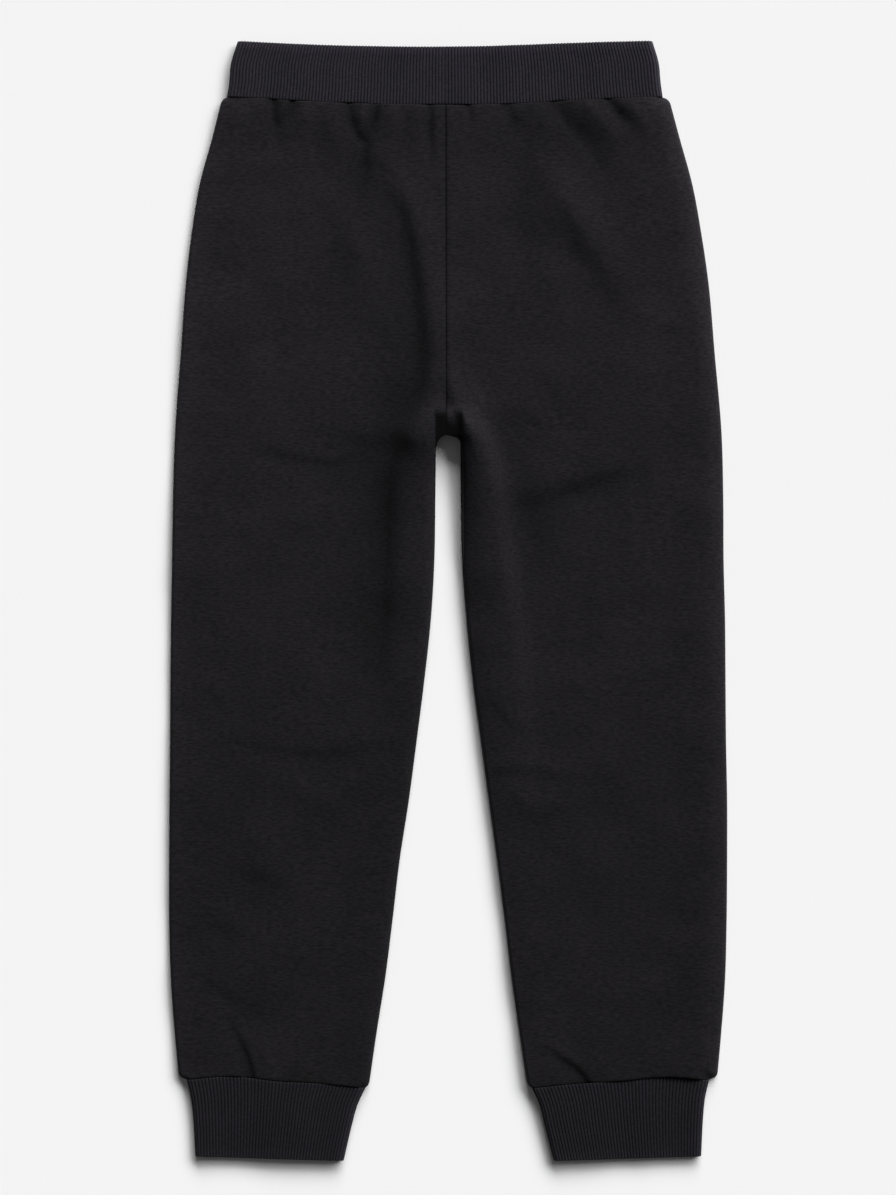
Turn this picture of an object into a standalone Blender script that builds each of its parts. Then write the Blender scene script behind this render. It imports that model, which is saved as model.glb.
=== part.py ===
"""Jogger sweatpants of brushed fleece with a rib waistband and rib cuffs, laid flat with the back upward.

The garment lies in the XY plane on z = 0: the waistband points to +Y, the hems to -Y. Seven pieces are cut
and sewn: the waistband ring, two back panels on top, two front panels below and two cuff tubes. Every
piece is a wall of cloth between an outer and an inner face. The side seams and inseams run at mid height
of the garment's rounded edges, the centre seam runs from the waistband to the crotch.
"""

import bpy
import numpy as np

MM = 0.001

# Driving sizes, in millimetres.
FLEECE_WALL = 2.2        # brushed fleece, one layer
BAND_WALL = 2.8          # rib folded over an elastic
CUFF_WALL = 2.4          # rib folded double
SEAM_GAP = 0.3           # between two sewn pieces
BODY_EDGE_HEIGHT = 8.0   # both layers at the rounded side edges
BODY_FLAT_HEIGHT = 5.6   # both layers where they lie close together
LOWEST_STACK = 5.0       # both layers pressed together in a trough
WAIST_SEAM_HEIGHT = 6.4  # both layers pulled together at the waistband's seam
HEM_SEAM_HEIGHT = 6.2    # both layers pulled together at a cuff's seam
BAND_HEIGHT = 7.0
CUFF_HEIGHT = 6.6
EDGE_PUFF_REACH = 13.0   # how far the puffed edge runs into the panel
SEAM_REACH = 2.5         # how far a seam draws the cloth down beside it
WAIST_PUFF = 1.0         # rise of the gathered cloth below the waistband
WAIST_PUFF_AT = 14.0     # its distance from the seam
WAIST_PUFF_REACH = 20.0
HEM_PUFF = 0.6
HEM_PUFF_AT = 10.0
HEM_PUFF_REACH = 14.0
CENTRE_GROOVE = 0.6      # the centre seam's groove in the back
CENTRE_GROOVE_REACH = 2.2
CENTRE_LIFT = 0.2        # the centre seam's lift off the ground in the front

WAIST_LEVEL = 314.6
CROTCH_LEVEL = 103.2
HEM_LEVEL = -300.0
PANEL_TOP = WAIST_LEVEL - SEAM_GAP / 2
PANEL_BOTTOM = HEM_LEVEL + SEAM_GAP / 2
SEAM_WAVE_REACH = 60.0   # over this length the rows straighten from the curved seams
CENTRE_SEAM_TOP_X = -1.6
CENTRE_SEAM_CROTCH_X = -1.1
ARCH_RISE = {"left": 11.0, "right": 5.0}    # height of the small arch between the legs
WAIST_TUCK = {"left": 2.9, "right": 3.8}    # the body bulges this far past the waistband's end
HEM_TUCK_OUTER = 5.0                        # and past the cuff at the outer edge
HEM_TUCK_INNER = 2.0
TUCK_LENGTH = 4.5
CUFF_OUTER_X = 158.0     # the lower edge's corners, as distances from the middle line
CUFF_INNER_X = 65.0
CUFF_BOTTOM_OUTER_Y = -347.2
CUFF_BOTTOM_INNER_Y = -349.9

SIDES = {"left": -1.0, "right": 1.0}

# The body's outline: a row per level, with the outer and inner edge of each leg. Above the crotch
# the inner column only gives the foot of the arch.
BODY_OUTLINE = (
    # level, left outer, left inner, right inner, right outer
    (315.0, -141.2, -7.6, 7.6, 137.9),
    (290.0, -147.4, -7.6, 7.6, 144.6),
    (260.0, -155.5, -7.6, 7.6, 152.8),
    (230.0, -160.4, -7.6, 7.6, 158.3),
    (200.0, -163.9, -7.6, 7.6, 162.7),
    (155.0, -167.2, -7.6, 7.6, 166.7),
    (103.0, -170.9, -7.6, 7.6, 171.1),
    (63.0, -172.1, -8.0, 7.9, 172.1),
    (25.0, -172.7, -8.6, 8.7, 172.3),
    (-12.0, -173.3, -10.8, 11.4, 173.2),
    (-50.0, -173.7, -14.9, 15.4, 173.5),
    (-87.0, -173.9, -19.6, 20.3, 173.8),
    (-125.0, -174.3, -24.6, 25.5, 174.5),
    (-162.0, -174.5, -30.3, 30.5, 174.5),
    (-199.0, -174.5, -34.7, 35.3, 174.2),
    (-237.0, -173.4, -39.5, 39.8, 173.2),
    (-274.0, -170.7, -45.7, 45.5, 170.5),
    (-300.0, -168.4, -49.7, 49.8, 168.2),
)

# The waistband's two long lines, which sag between the side seams.
WAIST_LINES = (
    # x, top edge, seam
    (-139.0, 349.9, 314.6),
    (-115.0, 348.7, 313.4),
    (-95.0, 347.7, 312.0),
    (-70.0, 346.8, 310.8),
    (-45.0, 346.3, 310.0),
    (-20.0, 345.9, 309.5),
    (12.0, 346.1, 309.5),
    (45.0, 347.0, 310.4),
    (72.0, 348.1, 311.9),
    (95.0, 348.8, 313.0),
    (135.0, 349.9, 314.6),
)

# The waistband's ends, from the seam (0) to the top edge (1).
BAND_ENDS = (
    # along, left, right
    (0.0, -138.3, 134.1),
    (0.3, -136.7, 132.7),
    (0.6, -135.9, 131.8),
    (1.0, -131.8, 127.9),
)

# The cuffs' seams with the legs: their y by the distance from the garment's middle line. The front's
# seams run straight between the same ends.
HEM_LINES = (
    # distance, left leg, right leg
    (51.5, -304.2, -304.2),
    (80.0, -301.4, -301.5),
    (108.0, -299.8, -299.9),
    (135.0, -297.0, -297.4),
    (163.4, -299.1, -299.3),
)

# The cuffs' edges, from the seam (0) to the lower edge (1).
CUFF_EDGES = (
    # along, left outer, left inner, right inner, right outer
    (0.00, -163.4, -51.5, 52.2, 163.2),
    (0.25, -160.7, -56.6, 57.0, 160.5),
    (0.50, -159.4, -59.7, 59.8, 159.4),
    (1.00, -158.0, -65.0, 65.6, 158.2),
)

# The largest folds of the back: a row for each ridge (rise above 0) or trough (below 0). It runs
# from its head, where it is strongest, to its tail, bowed sideways at its middle.
FOLDS = (
    # head x, head y, tail x, tail y, bow, width, rise
    (-101.0, 312.0, -104.0, 272.0, 1.0, 8.0, -1.4),   # gather left of the waist
    (-61.0, 312.0, -50.0, 262.0, -3.0, 8.0, -2.0),    # the deepest gather
    (-9.0, 312.0, -11.0, 268.0, 0.0, 7.0, -1.2),      # beside the centre seam
    (13.0, 312.0, 12.0, 286.0, 0.0, 7.0, -1.0),
    (68.0, 312.0, 103.0, 266.0, -3.0, 8.0, -1.6),     # gather across the right hip
    (102.0, 313.0, 114.0, 292.0, 0.0, 7.0, -1.0),
    (-39.0, 268.0, -22.0, 160.0, -4.0, 14.0, -0.5),   # the long trough of the left leg
    (-22.0, 160.0, -42.0, -55.0, 6.0, 16.0, -0.4),
    (63.0, 272.0, 111.0, 218.0, 4.0, 12.0, 0.9),      # ridge over the right hip
    (71.0, 240.0, 103.0, 196.0, 4.0, 12.0, -0.5),
    (12.0, 136.0, 47.0, -12.0, 8.0, 14.0, 0.9),       # ridge inside the right leg
    (-1.0, 98.0, -1.0, 134.0, 0.0, 9.0, -1.4),        # hollow above the crotch
    (-112.0, 92.0, -52.0, 79.0, 3.0, 11.0, -0.4),     # thigh creases
    (66.0, 63.0, 111.0, 79.0, -4.0, 11.0, -0.4),
    (-124.0, -89.0, -61.0, -95.0, 3.0, 12.0, -0.5),   # knee creases
    (31.0, -111.0, 71.0, -111.0, -6.0, 12.0, -0.5),
    (-121.0, -298.0, -134.0, -270.0, 1.0, 7.0, -1.1),  # puckers above the cuffs
    (86.0, -300.0, 71.0, -284.0, 1.0, 7.0, -1.3),
)

# How finely each piece is divided.
ROLL_STEPS = 3           # round each rounded edge, a quarter turn
BACK_STEPS = 12          # across a back panel's flat part
FRONT_STEPS = 6
BACK_ROWS = (18, 19)     # from the waist to the crotch, from the crotch to the hem
FRONT_ROWS = (10, 16)
BAND_STEPS = 18
BAND_ROWS = 4
CUFF_STEPS = 12
CUFF_ROWS = 4
PATH_STEPS = 150         # points on each edge that distances are measured to
ON_EDGE = 0.05           # a point this near to an edge lies on it
SLOPE_STEP = 0.05        # slopes are measured over this distance

# Dyed black cloth: colours are linear, the rib is a little lighter than the fleece.
MATERIALS = {
    # name: (colour, roughness)
    "black_fleece": ((0.0137, 0.0132, 0.0152, 1.0), 0.95),
    "black_rib": ((0.0168, 0.0160, 0.0198, 1.0), 0.90),
}


def clear_scene():
    for thing in list(bpy.data.objects):
        bpy.data.objects.remove(thing, do_unlink=True)


def smooth_column(table, column, at):
    """A smooth curve through one column of a table, over the table's first column."""
    rows = np.array(sorted(table), float)
    keys = rows[:, 0]
    values = rows[:, column]
    slopes = np.gradient(values, keys)
    at = np.clip(at, keys[0], keys[-1])
    row = np.clip(np.searchsorted(keys, at) - 1, 0, len(keys) - 2)
    span = keys[row + 1] - keys[row]
    t = (at - keys[row]) / span
    from_start = (1 + 2 * t) * (1 - t) ** 2 * values[row] + t * (1 - t) ** 2 * span * slopes[row]
    from_end = t * t * (3 - 2 * t) * values[row + 1] + t * t * (t - 1) * span * slopes[row + 1]
    return from_start + from_end


def crowded(start, stop, count):
    """Values from start to stop that lie closer together at both ends."""
    turn = np.linspace(0.0, np.pi, count + 1)
    return start + (stop - start) * (1 - np.cos(turn)) / 2


def smooth_step(value):
    value = np.clip(value, 0.0, 1.0)
    return value * value * (3 - 2 * value)


def bell(distance, reach):
    """1 at no distance, falling smoothly to about a third at the reach and to nothing past twice it."""
    return np.exp(-((distance / reach) ** 2))


def drawn_in(distance, amount):
    """How far a rounded corner is drawn in, at this distance from a seam's end."""
    share = np.clip(1 - distance / TUCK_LENGTH, 0.0, 1.0)
    return amount * (1 - np.sqrt(1 - share * share))


def centre_seam_x(y):
    share = np.clip((WAIST_LEVEL - y) / (WAIST_LEVEL - CROTCH_LEVEL), 0.0, 1.0)
    return CENTRE_SEAM_TOP_X + share * (CENTRE_SEAM_CROTCH_X - CENTRE_SEAM_TOP_X)


def hem_line_y(side, x, layer):
    column = {"left": 1, "right": 2}[side]
    if layer == "back":
        return smooth_column(HEM_LINES, column, np.abs(x))
    first, last = HEM_LINES[0], HEM_LINES[-1]
    return np.interp(np.abs(x), [first[0], last[0]], [first[column], last[column]])


def outer_edge_x(side, level):
    column = {"left": 1, "right": 4}[side]
    tuck = drawn_in(PANEL_TOP - level, WAIST_TUCK[side]) + drawn_in(level - PANEL_BOTTOM, HEM_TUCK_OUTER)
    return smooth_column(BODY_OUTLINE, column, level) - SIDES[side] * tuck


def inner_edge_x(side, level):
    """The centre seam above the crotch, then the arch and the leg's inner edge."""
    column = {"left": 2, "right": 3}[side]
    seam = centre_seam_x(level) + SIDES[side] * SEAM_GAP / 2
    depth = np.clip((CROTCH_LEVEL - level) / ARCH_RISE[side], 0.0, 1.0)
    arch = np.sqrt(1 - (1 - depth) ** 2)
    tuck = drawn_in(level - PANEL_BOTTOM, HEM_TUCK_INNER)
    foot = smooth_column(BODY_OUTLINE, column, level) + SIDES[side] * tuck
    return seam + (foot - seam) * arch


def row_y(side, level, x, layer):
    """The rows follow the curved waist and hem seams near them, and are straight between."""
    to_waist = 1 - smooth_step((PANEL_TOP - level) / SEAM_WAVE_REACH)
    to_hem = 1 - smooth_step((level - PANEL_BOTTOM) / SEAM_WAVE_REACH)
    waist = smooth_column(WAIST_LINES, 2, x) - WAIST_LEVEL
    hem = hem_line_y(side, x, layer) - HEM_LEVEL
    return level + waist * to_waist + hem * to_hem


def edge_path(side, edge, levels, layer):
    """The points (x, y) of a panel's outer edge, or of its inner edge below the crotch."""
    x = outer_edge_x(side, levels) if edge == "outer" else inner_edge_x(side, levels)
    return np.stack([x, row_y(side, levels, x, layer)], axis=-1)


def nearest_on_path(points, path, inward):
    """Distance of each point (x, y) to the path, and the unit direction that leads away from it.

    On the path itself the direction is the path's own normal, on the side that inward points to.
    """
    tangent = np.gradient(path, axis=0)
    normal = np.stack([-tangent[:, 1], tangent[:, 0]], axis=-1)
    normal /= np.linalg.norm(normal, axis=-1, keepdims=True)
    normal *= np.sign((normal[len(path) // 2] * inward).sum())
    best = np.full(len(points), np.inf)
    away = np.zeros_like(points)
    for start, stop, n_start, n_stop in zip(path[:-1], path[1:], normal[:-1], normal[1:]):
        run = stop - start
        share = np.clip(((points - start) @ run) / (run @ run), 0.0, 1.0)[:, None]
        offset = points - start - share * run
        distance = np.linalg.norm(offset, axis=-1)
        direction = np.where(
            distance[:, None] > ON_EDGE,
            offset / np.maximum(distance, ON_EDGE)[:, None],
            n_start + share * (n_stop - n_start),
        )
        distance = np.where(distance > ON_EDGE, distance, 0.0)
        nearer = distance < best
        best = np.where(nearer, distance, best)
        away = np.where(nearer[:, None], direction, away)
    return best, away / np.linalg.norm(away, axis=-1, keepdims=True)


def fold_rise(x, y):
    """All folds of the back added up at (x, y)."""
    total = np.zeros_like(x)
    for head_x, head_y, tail_x, tail_y, bow, width, rise in FOLDS:
        run = np.array([tail_x - head_x, tail_y - head_y])
        length = np.hypot(*run)
        along = ((x - head_x) * run[0] + (y - head_y) * run[1]) / length
        beside = ((y - head_y) * run[0] - (x - head_x) * run[1]) / length
        share = np.clip(along / length, 0.0, 1.0)
        beside = beside - bow * 4 * share * (1 - share)
        past = np.maximum(along - length, 0.0) + np.maximum(-along, 0.0)
        fade = np.sqrt(1 - share) * bell(past, width)
        total = total + rise * fade * bell(beside, width)
    return total


def soft_limits(height):
    """Keeps the two layers clear of each other and close together."""
    middle = (BODY_EDGE_HEIGHT + LOWEST_STACK) / 2
    half = (BODY_EDGE_HEIGHT - LOWEST_STACK) / 2
    return middle + half * np.tanh((height - middle) / half)


def seam_share(x, y, side, layer):
    """0 on the waist seam or the hem seam and 1 away from them, with the seams' height."""
    below_waist = np.maximum(smooth_column(WAIST_LINES, 2, x) - y, 0.0)
    above_hem = np.maximum(y - hem_line_y(side, x, layer), 0.0)
    at_waist = np.exp(-below_waist / SEAM_REACH)
    at_hem = np.exp(-above_hem / SEAM_REACH)
    seam_height = np.where(below_waist < above_hem, WAIST_SEAM_HEIGHT, HEM_SEAM_HEIGHT)
    return 1 - at_waist - at_hem, seam_height, below_waist, above_hem


def back_height(x, y, side, edge_distance):
    """Height of the garment's top face above the ground."""
    free, seam_height, below_waist, above_hem = seam_share(x, y, side, "back")
    height = BODY_FLAT_HEIGHT + fold_rise(x, y)
    height = height + (BODY_EDGE_HEIGHT - BODY_FLAT_HEIGHT) * bell(edge_distance, EDGE_PUFF_REACH)
    height = height + WAIST_PUFF * bell(below_waist - WAIST_PUFF_AT, WAIST_PUFF_REACH)
    height = height + HEM_PUFF * bell(above_hem - HEM_PUFF_AT, HEM_PUFF_REACH)
    groove = CENTRE_GROOVE * bell(x - centre_seam_x(y), CENTRE_GROOVE_REACH)
    height = soft_limits(height) - groove * smooth_step((y - CROTCH_LEVEL) / EDGE_PUFF_REACH)
    return seam_height + (height - seam_height) * free


def front_height(x, y, _side, _edge_distance):
    """Height of the garment's underside above the ground: flat but for the centre seam."""
    lift = CENTRE_LIFT * bell(x - centre_seam_x(y), CENTRE_GROOVE_REACH)
    return lift * smooth_step((y - CROTCH_LEVEL) / EDGE_PUFF_REACH)


def rolled_face(x, y, middle, height, edge_distance, away, slope, gap, upward):
    """The outer face of a wall that rolls down (or up) to mid height at its rounded edge, and its normals.

    The face is a quarter ellipse over the edge distance and then follows the height.
    """
    share = np.clip(edge_distance / middle, 0.0, 1.0)
    roll = np.sqrt(1 - (1 - share) ** 2)
    sign = 1.0 if upward else -1.0
    start = middle + sign * gap / 2
    z = start + (height - start) * roll
    rise = (height - start) * sign
    lean = rise * (1 - share) / middle
    normal = np.stack(
        [
            -lean * away[..., 0] - sign * roll**2 * slope[0],
            -lean * away[..., 1] - sign * roll**2 * slope[1],
            roll,
        ],
        axis=-1,
    )
    normal[..., 2] *= sign
    return np.stack([x, y, z], axis=-1), normal


def inner_face(outer, normal, wall):
    """The other face of a wall. Its ends at the seams stay square to them."""
    normal[[0, -1], :, 1] = 0.0
    return outer - wall * normal / np.linalg.norm(normal, axis=-1, keepdims=True)


def shares_across(width, middle, flat_steps):
    """Shares of the width: a quarter turn of the roll at each edge, and even steps between."""
    turn = np.linspace(0.0, np.pi / 2, ROLL_STEPS + 1)
    roll = middle * (1 - np.cos(turn)) / width[:, None]
    inside = np.linspace(0.0, 1.0, flat_steps + 1)[1:-1]
    flat = roll[:, -1:] + (1 - 2 * roll[:, -1:]) * inside
    return np.concatenate([roll, flat, 1 - roll[:, ::-1]], axis=1)


def panel_faces(side, layer):
    """Both faces of a back or front panel, as grids of points: rows down the leg, columns across."""
    rows = BACK_ROWS if layer == "back" else FRONT_ROWS
    steps = BACK_STEPS if layer == "back" else FRONT_STEPS
    height_of = back_height if layer == "back" else front_height
    above = crowded(PANEL_TOP, CROTCH_LEVEL, rows[0])
    below = crowded(CROTCH_LEVEL, PANEL_BOTTOM, rows[1])
    levels = np.concatenate([above, below[1:]])
    outer_x = outer_edge_x(side, levels)
    inner_x = inner_edge_x(side, levels)
    across = shares_across(np.abs(inner_x - outer_x), BODY_EDGE_HEIGHT / 2, steps)
    level = np.broadcast_to(levels[:, None], across.shape)
    x = outer_x[:, None] + (inner_x - outer_x)[:, None] * across
    y = row_y(side, level, x, layer)

    points = np.stack([x.ravel(), y.ravel()], axis=-1)
    inward = np.array([SIDES[side], 0.0])
    outer_path = edge_path(side, "outer", crowded(PANEL_TOP, PANEL_BOTTOM, PATH_STEPS), layer)
    inner_path = edge_path(side, "inner", crowded(CROTCH_LEVEL, PANEL_BOTTOM, PATH_STEPS), layer)
    outer_distance, outer_away = nearest_on_path(points, outer_path, -inward)
    inner_distance, inner_away = nearest_on_path(points, inner_path, inward)
    nearer = (outer_distance < inner_distance)[:, None]
    distance = np.minimum(outer_distance, inner_distance).reshape(x.shape)
    away = np.where(nearer, outer_away, inner_away).reshape(x.shape + (2,))

    free, seam_height, _, _ = seam_share(x, y, side, layer)
    middle = (seam_height + (BODY_EDGE_HEIGHT - seam_height) * free) / 2
    height = height_of(x, y, side, distance)
    slope = (
        (height_of(x + SLOPE_STEP, y, side, distance) - height) / SLOPE_STEP,
        (height_of(x, y + SLOPE_STEP, side, distance) - height) / SLOPE_STEP,
    )
    outer, normal = rolled_face(x, y, middle, height, distance, away, slope, SEAM_GAP, layer == "back")
    on_centre_seam = levels >= CROTCH_LEVEL
    normal[on_centre_seam, -1, 0] = 0.0
    return outer, inner_face(outer, normal, FLEECE_WALL)


def tube_faces(left_x, right_x, y_of, height, wall, steps):
    """Both faces of a flattened tube, as rings: a row for each height, across the top and back below."""
    across = shares_across(right_x - left_x, height.max() / 2, steps)
    x = left_x[:, None] + (right_x - left_x)[:, None] * across
    distance = np.minimum(across, 1 - across) * (right_x - left_x)[:, None]
    away = np.stack([np.where(across < 0.5, 1.0, -1.0), np.zeros_like(x)], axis=-1)
    middle = np.broadcast_to(height[:, None] / 2, x.shape)
    flat = (np.zeros_like(x), np.zeros_like(x))
    top = rolled_face(x, y_of(x, "back"), middle, 2 * middle, distance, away, flat, 0.0, True)
    under = rolled_face(x, y_of(x, "front"), middle, 0 * middle, distance, away, flat, 0.0, False)
    outer, normal = [np.concatenate([a, b[:, -2:0:-1]], axis=1) for a, b in zip(top, under)]
    return outer, inner_face(outer, normal, wall)


def waistband_faces():
    along = np.linspace(0.0, 1.0, BAND_ROWS + 1)
    left_x = smooth_column(BAND_ENDS, 1, along)
    right_x = smooth_column(BAND_ENDS, 2, along)
    height = np.where(along > 0, BAND_HEIGHT, WAIST_SEAM_HEIGHT)

    def y_of(x, layer):
        seam = smooth_column(WAIST_LINES, 2, x) + SEAM_GAP / 2
        edge = smooth_column(WAIST_LINES, 1, x)
        return seam + (edge - seam) * along[:, None]

    return tube_faces(left_x, right_x, y_of, height, BAND_WALL, BAND_STEPS)


def cuff_faces(side):
    along = np.linspace(0.0, 1.0, CUFF_ROWS + 1)
    columns = {"left": (1, 2), "right": (3, 4)}[side]
    left_x = smooth_column(CUFF_EDGES, columns[0], along)
    right_x = smooth_column(CUFF_EDGES, columns[1], along)
    height = np.where(along > 0, CUFF_HEIGHT, HEM_SEAM_HEIGHT)

    def y_of(x, layer):
        seam = hem_line_y(side, x, layer) - SEAM_GAP / 2
        from_outer = (CUFF_OUTER_X - np.abs(x)) / (CUFF_OUTER_X - CUFF_INNER_X)
        edge = CUFF_BOTTOM_OUTER_Y + (CUFF_BOTTOM_INNER_Y - CUFF_BOTTOM_OUTER_Y) * from_outer
        return seam + (edge - seam) * along[:, None]

    return tube_faces(left_x, right_x, y_of, height, CUFF_WALL, CUFF_STEPS)


def strip(first, second, closed):
    """Quads between two equally long rows of vertex numbers."""
    if closed:
        first = np.append(first, first[0])
        second = np.append(second, second[0])
    return np.stack([first[:-1], first[1:], second[1:], second[:-1]], axis=-1)


def add_piece(name, outer, inner, round_tube, material):
    """A closed solid between two grids of points, whose rims are joined all round."""
    rows, columns = outer.shape[:2]
    number = np.arange(rows * columns).reshape(rows, columns)
    other = number + rows * columns
    quads = [strip(number[i], number[i + 1], round_tube) for i in range(rows - 1)]
    quads += [strip(other[i + 1], other[i], round_tube) for i in range(rows - 1)]
    quads += [strip(other[0], number[0], round_tube), strip(number[-1], other[-1], round_tube)]
    if not round_tube:
        quads += [strip(number[:, 0], other[:, 0], False), strip(other[:, -1], number[:, -1], False)]
    points = np.concatenate([outer.reshape(-1, 3), inner.reshape(-1, 3)]) * MM
    faces = np.concatenate(quads)
    corners = points[faces]
    volume = np.einsum("ij,ij->i", corners[:, 0], np.cross(corners[:, 1], corners[:, 2])).sum()
    volume += np.einsum("ij,ij->i", corners[:, 0], np.cross(corners[:, 2], corners[:, 3])).sum()
    if volume < 0:
        faces = faces[:, ::-1]
    mesh = bpy.data.meshes.new(name)
    mesh.from_pydata(points.tolist(), [], faces.tolist())
    mesh.validate()
    mesh.shade_smooth()
    piece = bpy.data.objects.new(name, mesh)
    piece.data.materials.append(cloth(name + "_cloth", material))
    bpy.context.scene.collection.objects.link(piece)
    return piece


def cloth(name, kind):
    colour, roughness = MATERIALS[kind]
    material = bpy.data.materials.new(name)
    material.use_nodes = True
    shader = material.node_tree.nodes["Principled BSDF"]
    shader.inputs["Base Color"].default_value = colour
    shader.inputs["Roughness"].default_value = roughness
    shader.inputs["Metallic"].default_value = 0.0
    return material


def main():
    clear_scene()
    add_piece("waistband", *waistband_faces(), True, "black_rib")
    for layer in ("back", "front"):
        for side in SIDES:
            add_piece(f"{layer}_{side}", *panel_faces(side, layer), False, "black_fleece")
    for side in SIDES:
        add_piece(f"cuff_{side}", *cuff_faces(side), True, "black_rib")


main()
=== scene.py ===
# %% [markdown]
# # Jogger sweatpants, laid flat
#
# A pair of black jogger sweatpants lies on a pale floor with its back upward. It is cut from brushed fleece,
# a knit with a smooth face and a soft back, and finished with a rib waistband and two rib cuffs.
# Seven pieces are sewn together, and here each of them becomes a closed wall of cloth of its own.
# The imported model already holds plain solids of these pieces. This script keeps their places and sizes and
# puts a finer surface in place of each one.

# %% Load the frame
from functools import partial

import bpy
import numpy as np
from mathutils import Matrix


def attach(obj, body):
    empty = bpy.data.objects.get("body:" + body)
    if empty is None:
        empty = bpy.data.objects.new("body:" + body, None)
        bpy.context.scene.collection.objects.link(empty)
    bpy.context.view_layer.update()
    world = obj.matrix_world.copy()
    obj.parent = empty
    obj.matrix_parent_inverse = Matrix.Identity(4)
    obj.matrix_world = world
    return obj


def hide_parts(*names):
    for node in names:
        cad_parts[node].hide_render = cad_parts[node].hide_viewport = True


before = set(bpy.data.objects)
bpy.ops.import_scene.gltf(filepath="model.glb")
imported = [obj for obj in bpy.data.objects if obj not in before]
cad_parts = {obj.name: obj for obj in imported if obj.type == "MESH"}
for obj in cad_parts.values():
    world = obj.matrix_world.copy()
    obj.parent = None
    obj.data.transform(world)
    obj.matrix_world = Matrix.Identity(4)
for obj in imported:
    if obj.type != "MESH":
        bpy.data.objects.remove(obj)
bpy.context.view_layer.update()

MM = 0.001

# %% [markdown]
# ## The camera
#
# Flat garments are shown from straight above, so that no side looks larger than the other. A long lens from
# two metres keeps the legs parallel. The height of the frame on the ground and the lens decide how high
# the camera hangs: frame height times lens length, divided by the sensor.

# %% Hang the camera
FRAME_HEIGHT = 746.3      # how much of the ground the picture's height covers
FRAME_CENTRE = (-0.1, 2.0)
CLOTH_LEVEL = 4.0         # the frame height is measured at about the cloth's middle
LENS = 100.0
SENSOR = 36.0

camera_data = bpy.data.cameras.new("overhead_camera")
camera_data.lens = LENS
camera_data.sensor_width = SENSOR
camera_data.clip_end = 50.0
camera = bpy.data.objects.new("overhead_camera", camera_data)
camera_height = FRAME_HEIGHT * LENS / SENSOR + CLOTH_LEVEL
camera.location = (FRAME_CENTRE[0] * MM, FRAME_CENTRE[1] * MM, camera_height * MM)
bpy.context.scene.collection.objects.link(camera)
bpy.context.scene.camera = camera
print("camera height in mm:", round(camera_height))

# %% [markdown]
# ## Sizes of the cut
#
# A pattern maker writes a garment down as a few lines: the outline of the legs, the seams at waist and hem,
# and the edges of the bands. The tables below do that in millimetres. X runs across the garment, Y from
# the hems up to the waist. A smooth curve through each column gives every point in between.

# %% Tables of the outline
FLEECE_WALL = 1.4         # thickness of each cloth
BAND_WALL = 2.0
CUFF_WALL = 1.8
SEAM_GAP = 0.06           # the gap that a seam is given between two pieces

WAIST_LEVEL = 314.6       # where the waist seam is highest
CROTCH_LEVEL = 103.2
HEM_LEVEL = -300.0
PANEL_TOP = WAIST_LEVEL - SEAM_GAP / 2
PANEL_BOTTOM = HEM_LEVEL + SEAM_GAP / 2
SEAM_WAVE_REACH = 60.0    # rows of points follow a curved seam up to this far from it
CENTRE_SEAM_X = (-1.1, -1.6)   # at the crotch and at the waist
FRONT_SEAM_SHIFT = 0.5    # the front's centre seam lies beside the back's, so no light comes up through both
ARCH_RISE = {"left": 11.0, "right": 5.0}   # height of the arch between the crotch and a leg's edge
WAIST_TUCK = {"left": 2.9, "right": 3.8}   # how far a panel's corners are drawn in
HEM_TUCK_OUTER = 5.0
HEM_TUCK_INNER = 2.0
TUCK_LENGTH = 4.5
CUFF_OUTER_X = 158.0      # the two ends of a cuff's lower edge
CUFF_INNER_X = 65.0
CUFF_BOTTOM_OUTER_Y = -347.2
CUFF_BOTTOM_INNER_Y = -349.9
SIDES = {"left": -1.0, "right": 1.0}       # which way X runs outwards

BODY_OUTLINE = (
    # level, left outer, left inner, right inner, right outer
    (315, -141.2, -7.6, 7.6, 137.9),
    (290, -147.4, -7.6, 7.6, 144.6),
    (260, -155.5, -7.6, 7.6, 152.8),
    (230, -160.4, -7.6, 7.6, 158.3),
    (200, -163.9, -7.6, 7.6, 162.7),
    (155, -167.2, -7.6, 7.6, 166.7),
    (103, -170.9, -7.6, 7.6, 171.1),
    (63, -172.1, -8, 7.9, 172.1),
    (25, -172.7, -8.6, 8.7, 172.3),
    (-12, -173.3, -10.8, 11.4, 173.2),
    (-50, -173.7, -14.9, 15.4, 173.5),
    (-87, -173.9, -19.6, 20.3, 173.8),
    (-125, -174.3, -24.6, 25.5, 174.5),
    (-162, -174.5, -30.3, 30.5, 174.5),
    (-199, -174.5, -34.7, 35.3, 174.2),
    (-237, -173.4, -39.5, 39.8, 173.2),
    (-274, -170.7, -45.7, 45.5, 170.5),
    (-300, -168.4, -49.7, 49.8, 168.2),
)
WAIST_LINES = (
    # x, top edge, seam
    (-139, 349.9, 314.6),
    (-115, 348.7, 313.4),
    (-95, 347.7, 312),
    (-70, 346.8, 310.8),
    (-45, 346.3, 310),
    (-20, 345.9, 309.5),
    (12, 346.1, 309.5),
    (45, 347, 310.4),
    (72, 348.1, 311.9),
    (95, 348.8, 313),
    (135, 349.9, 314.6),
)
BAND_ENDS = (
    # along, from the seam (0) to the top edge (1); left, right
    (0, -138.3, 134.1),
    (0.3, -136.7, 132.7),
    (0.6, -135.9, 131.8),
    (1, -131.8, 127.9),
)
HEM_LINES = (
    # distance from the middle line, left leg, right leg
    (51.5, -304.2, -304.2),
    (80, -301.4, -301.5),
    (108, -299.8, -299.9),
    (135, -297, -297.4),
    (163.4, -299.1, -299.3),
)
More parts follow.
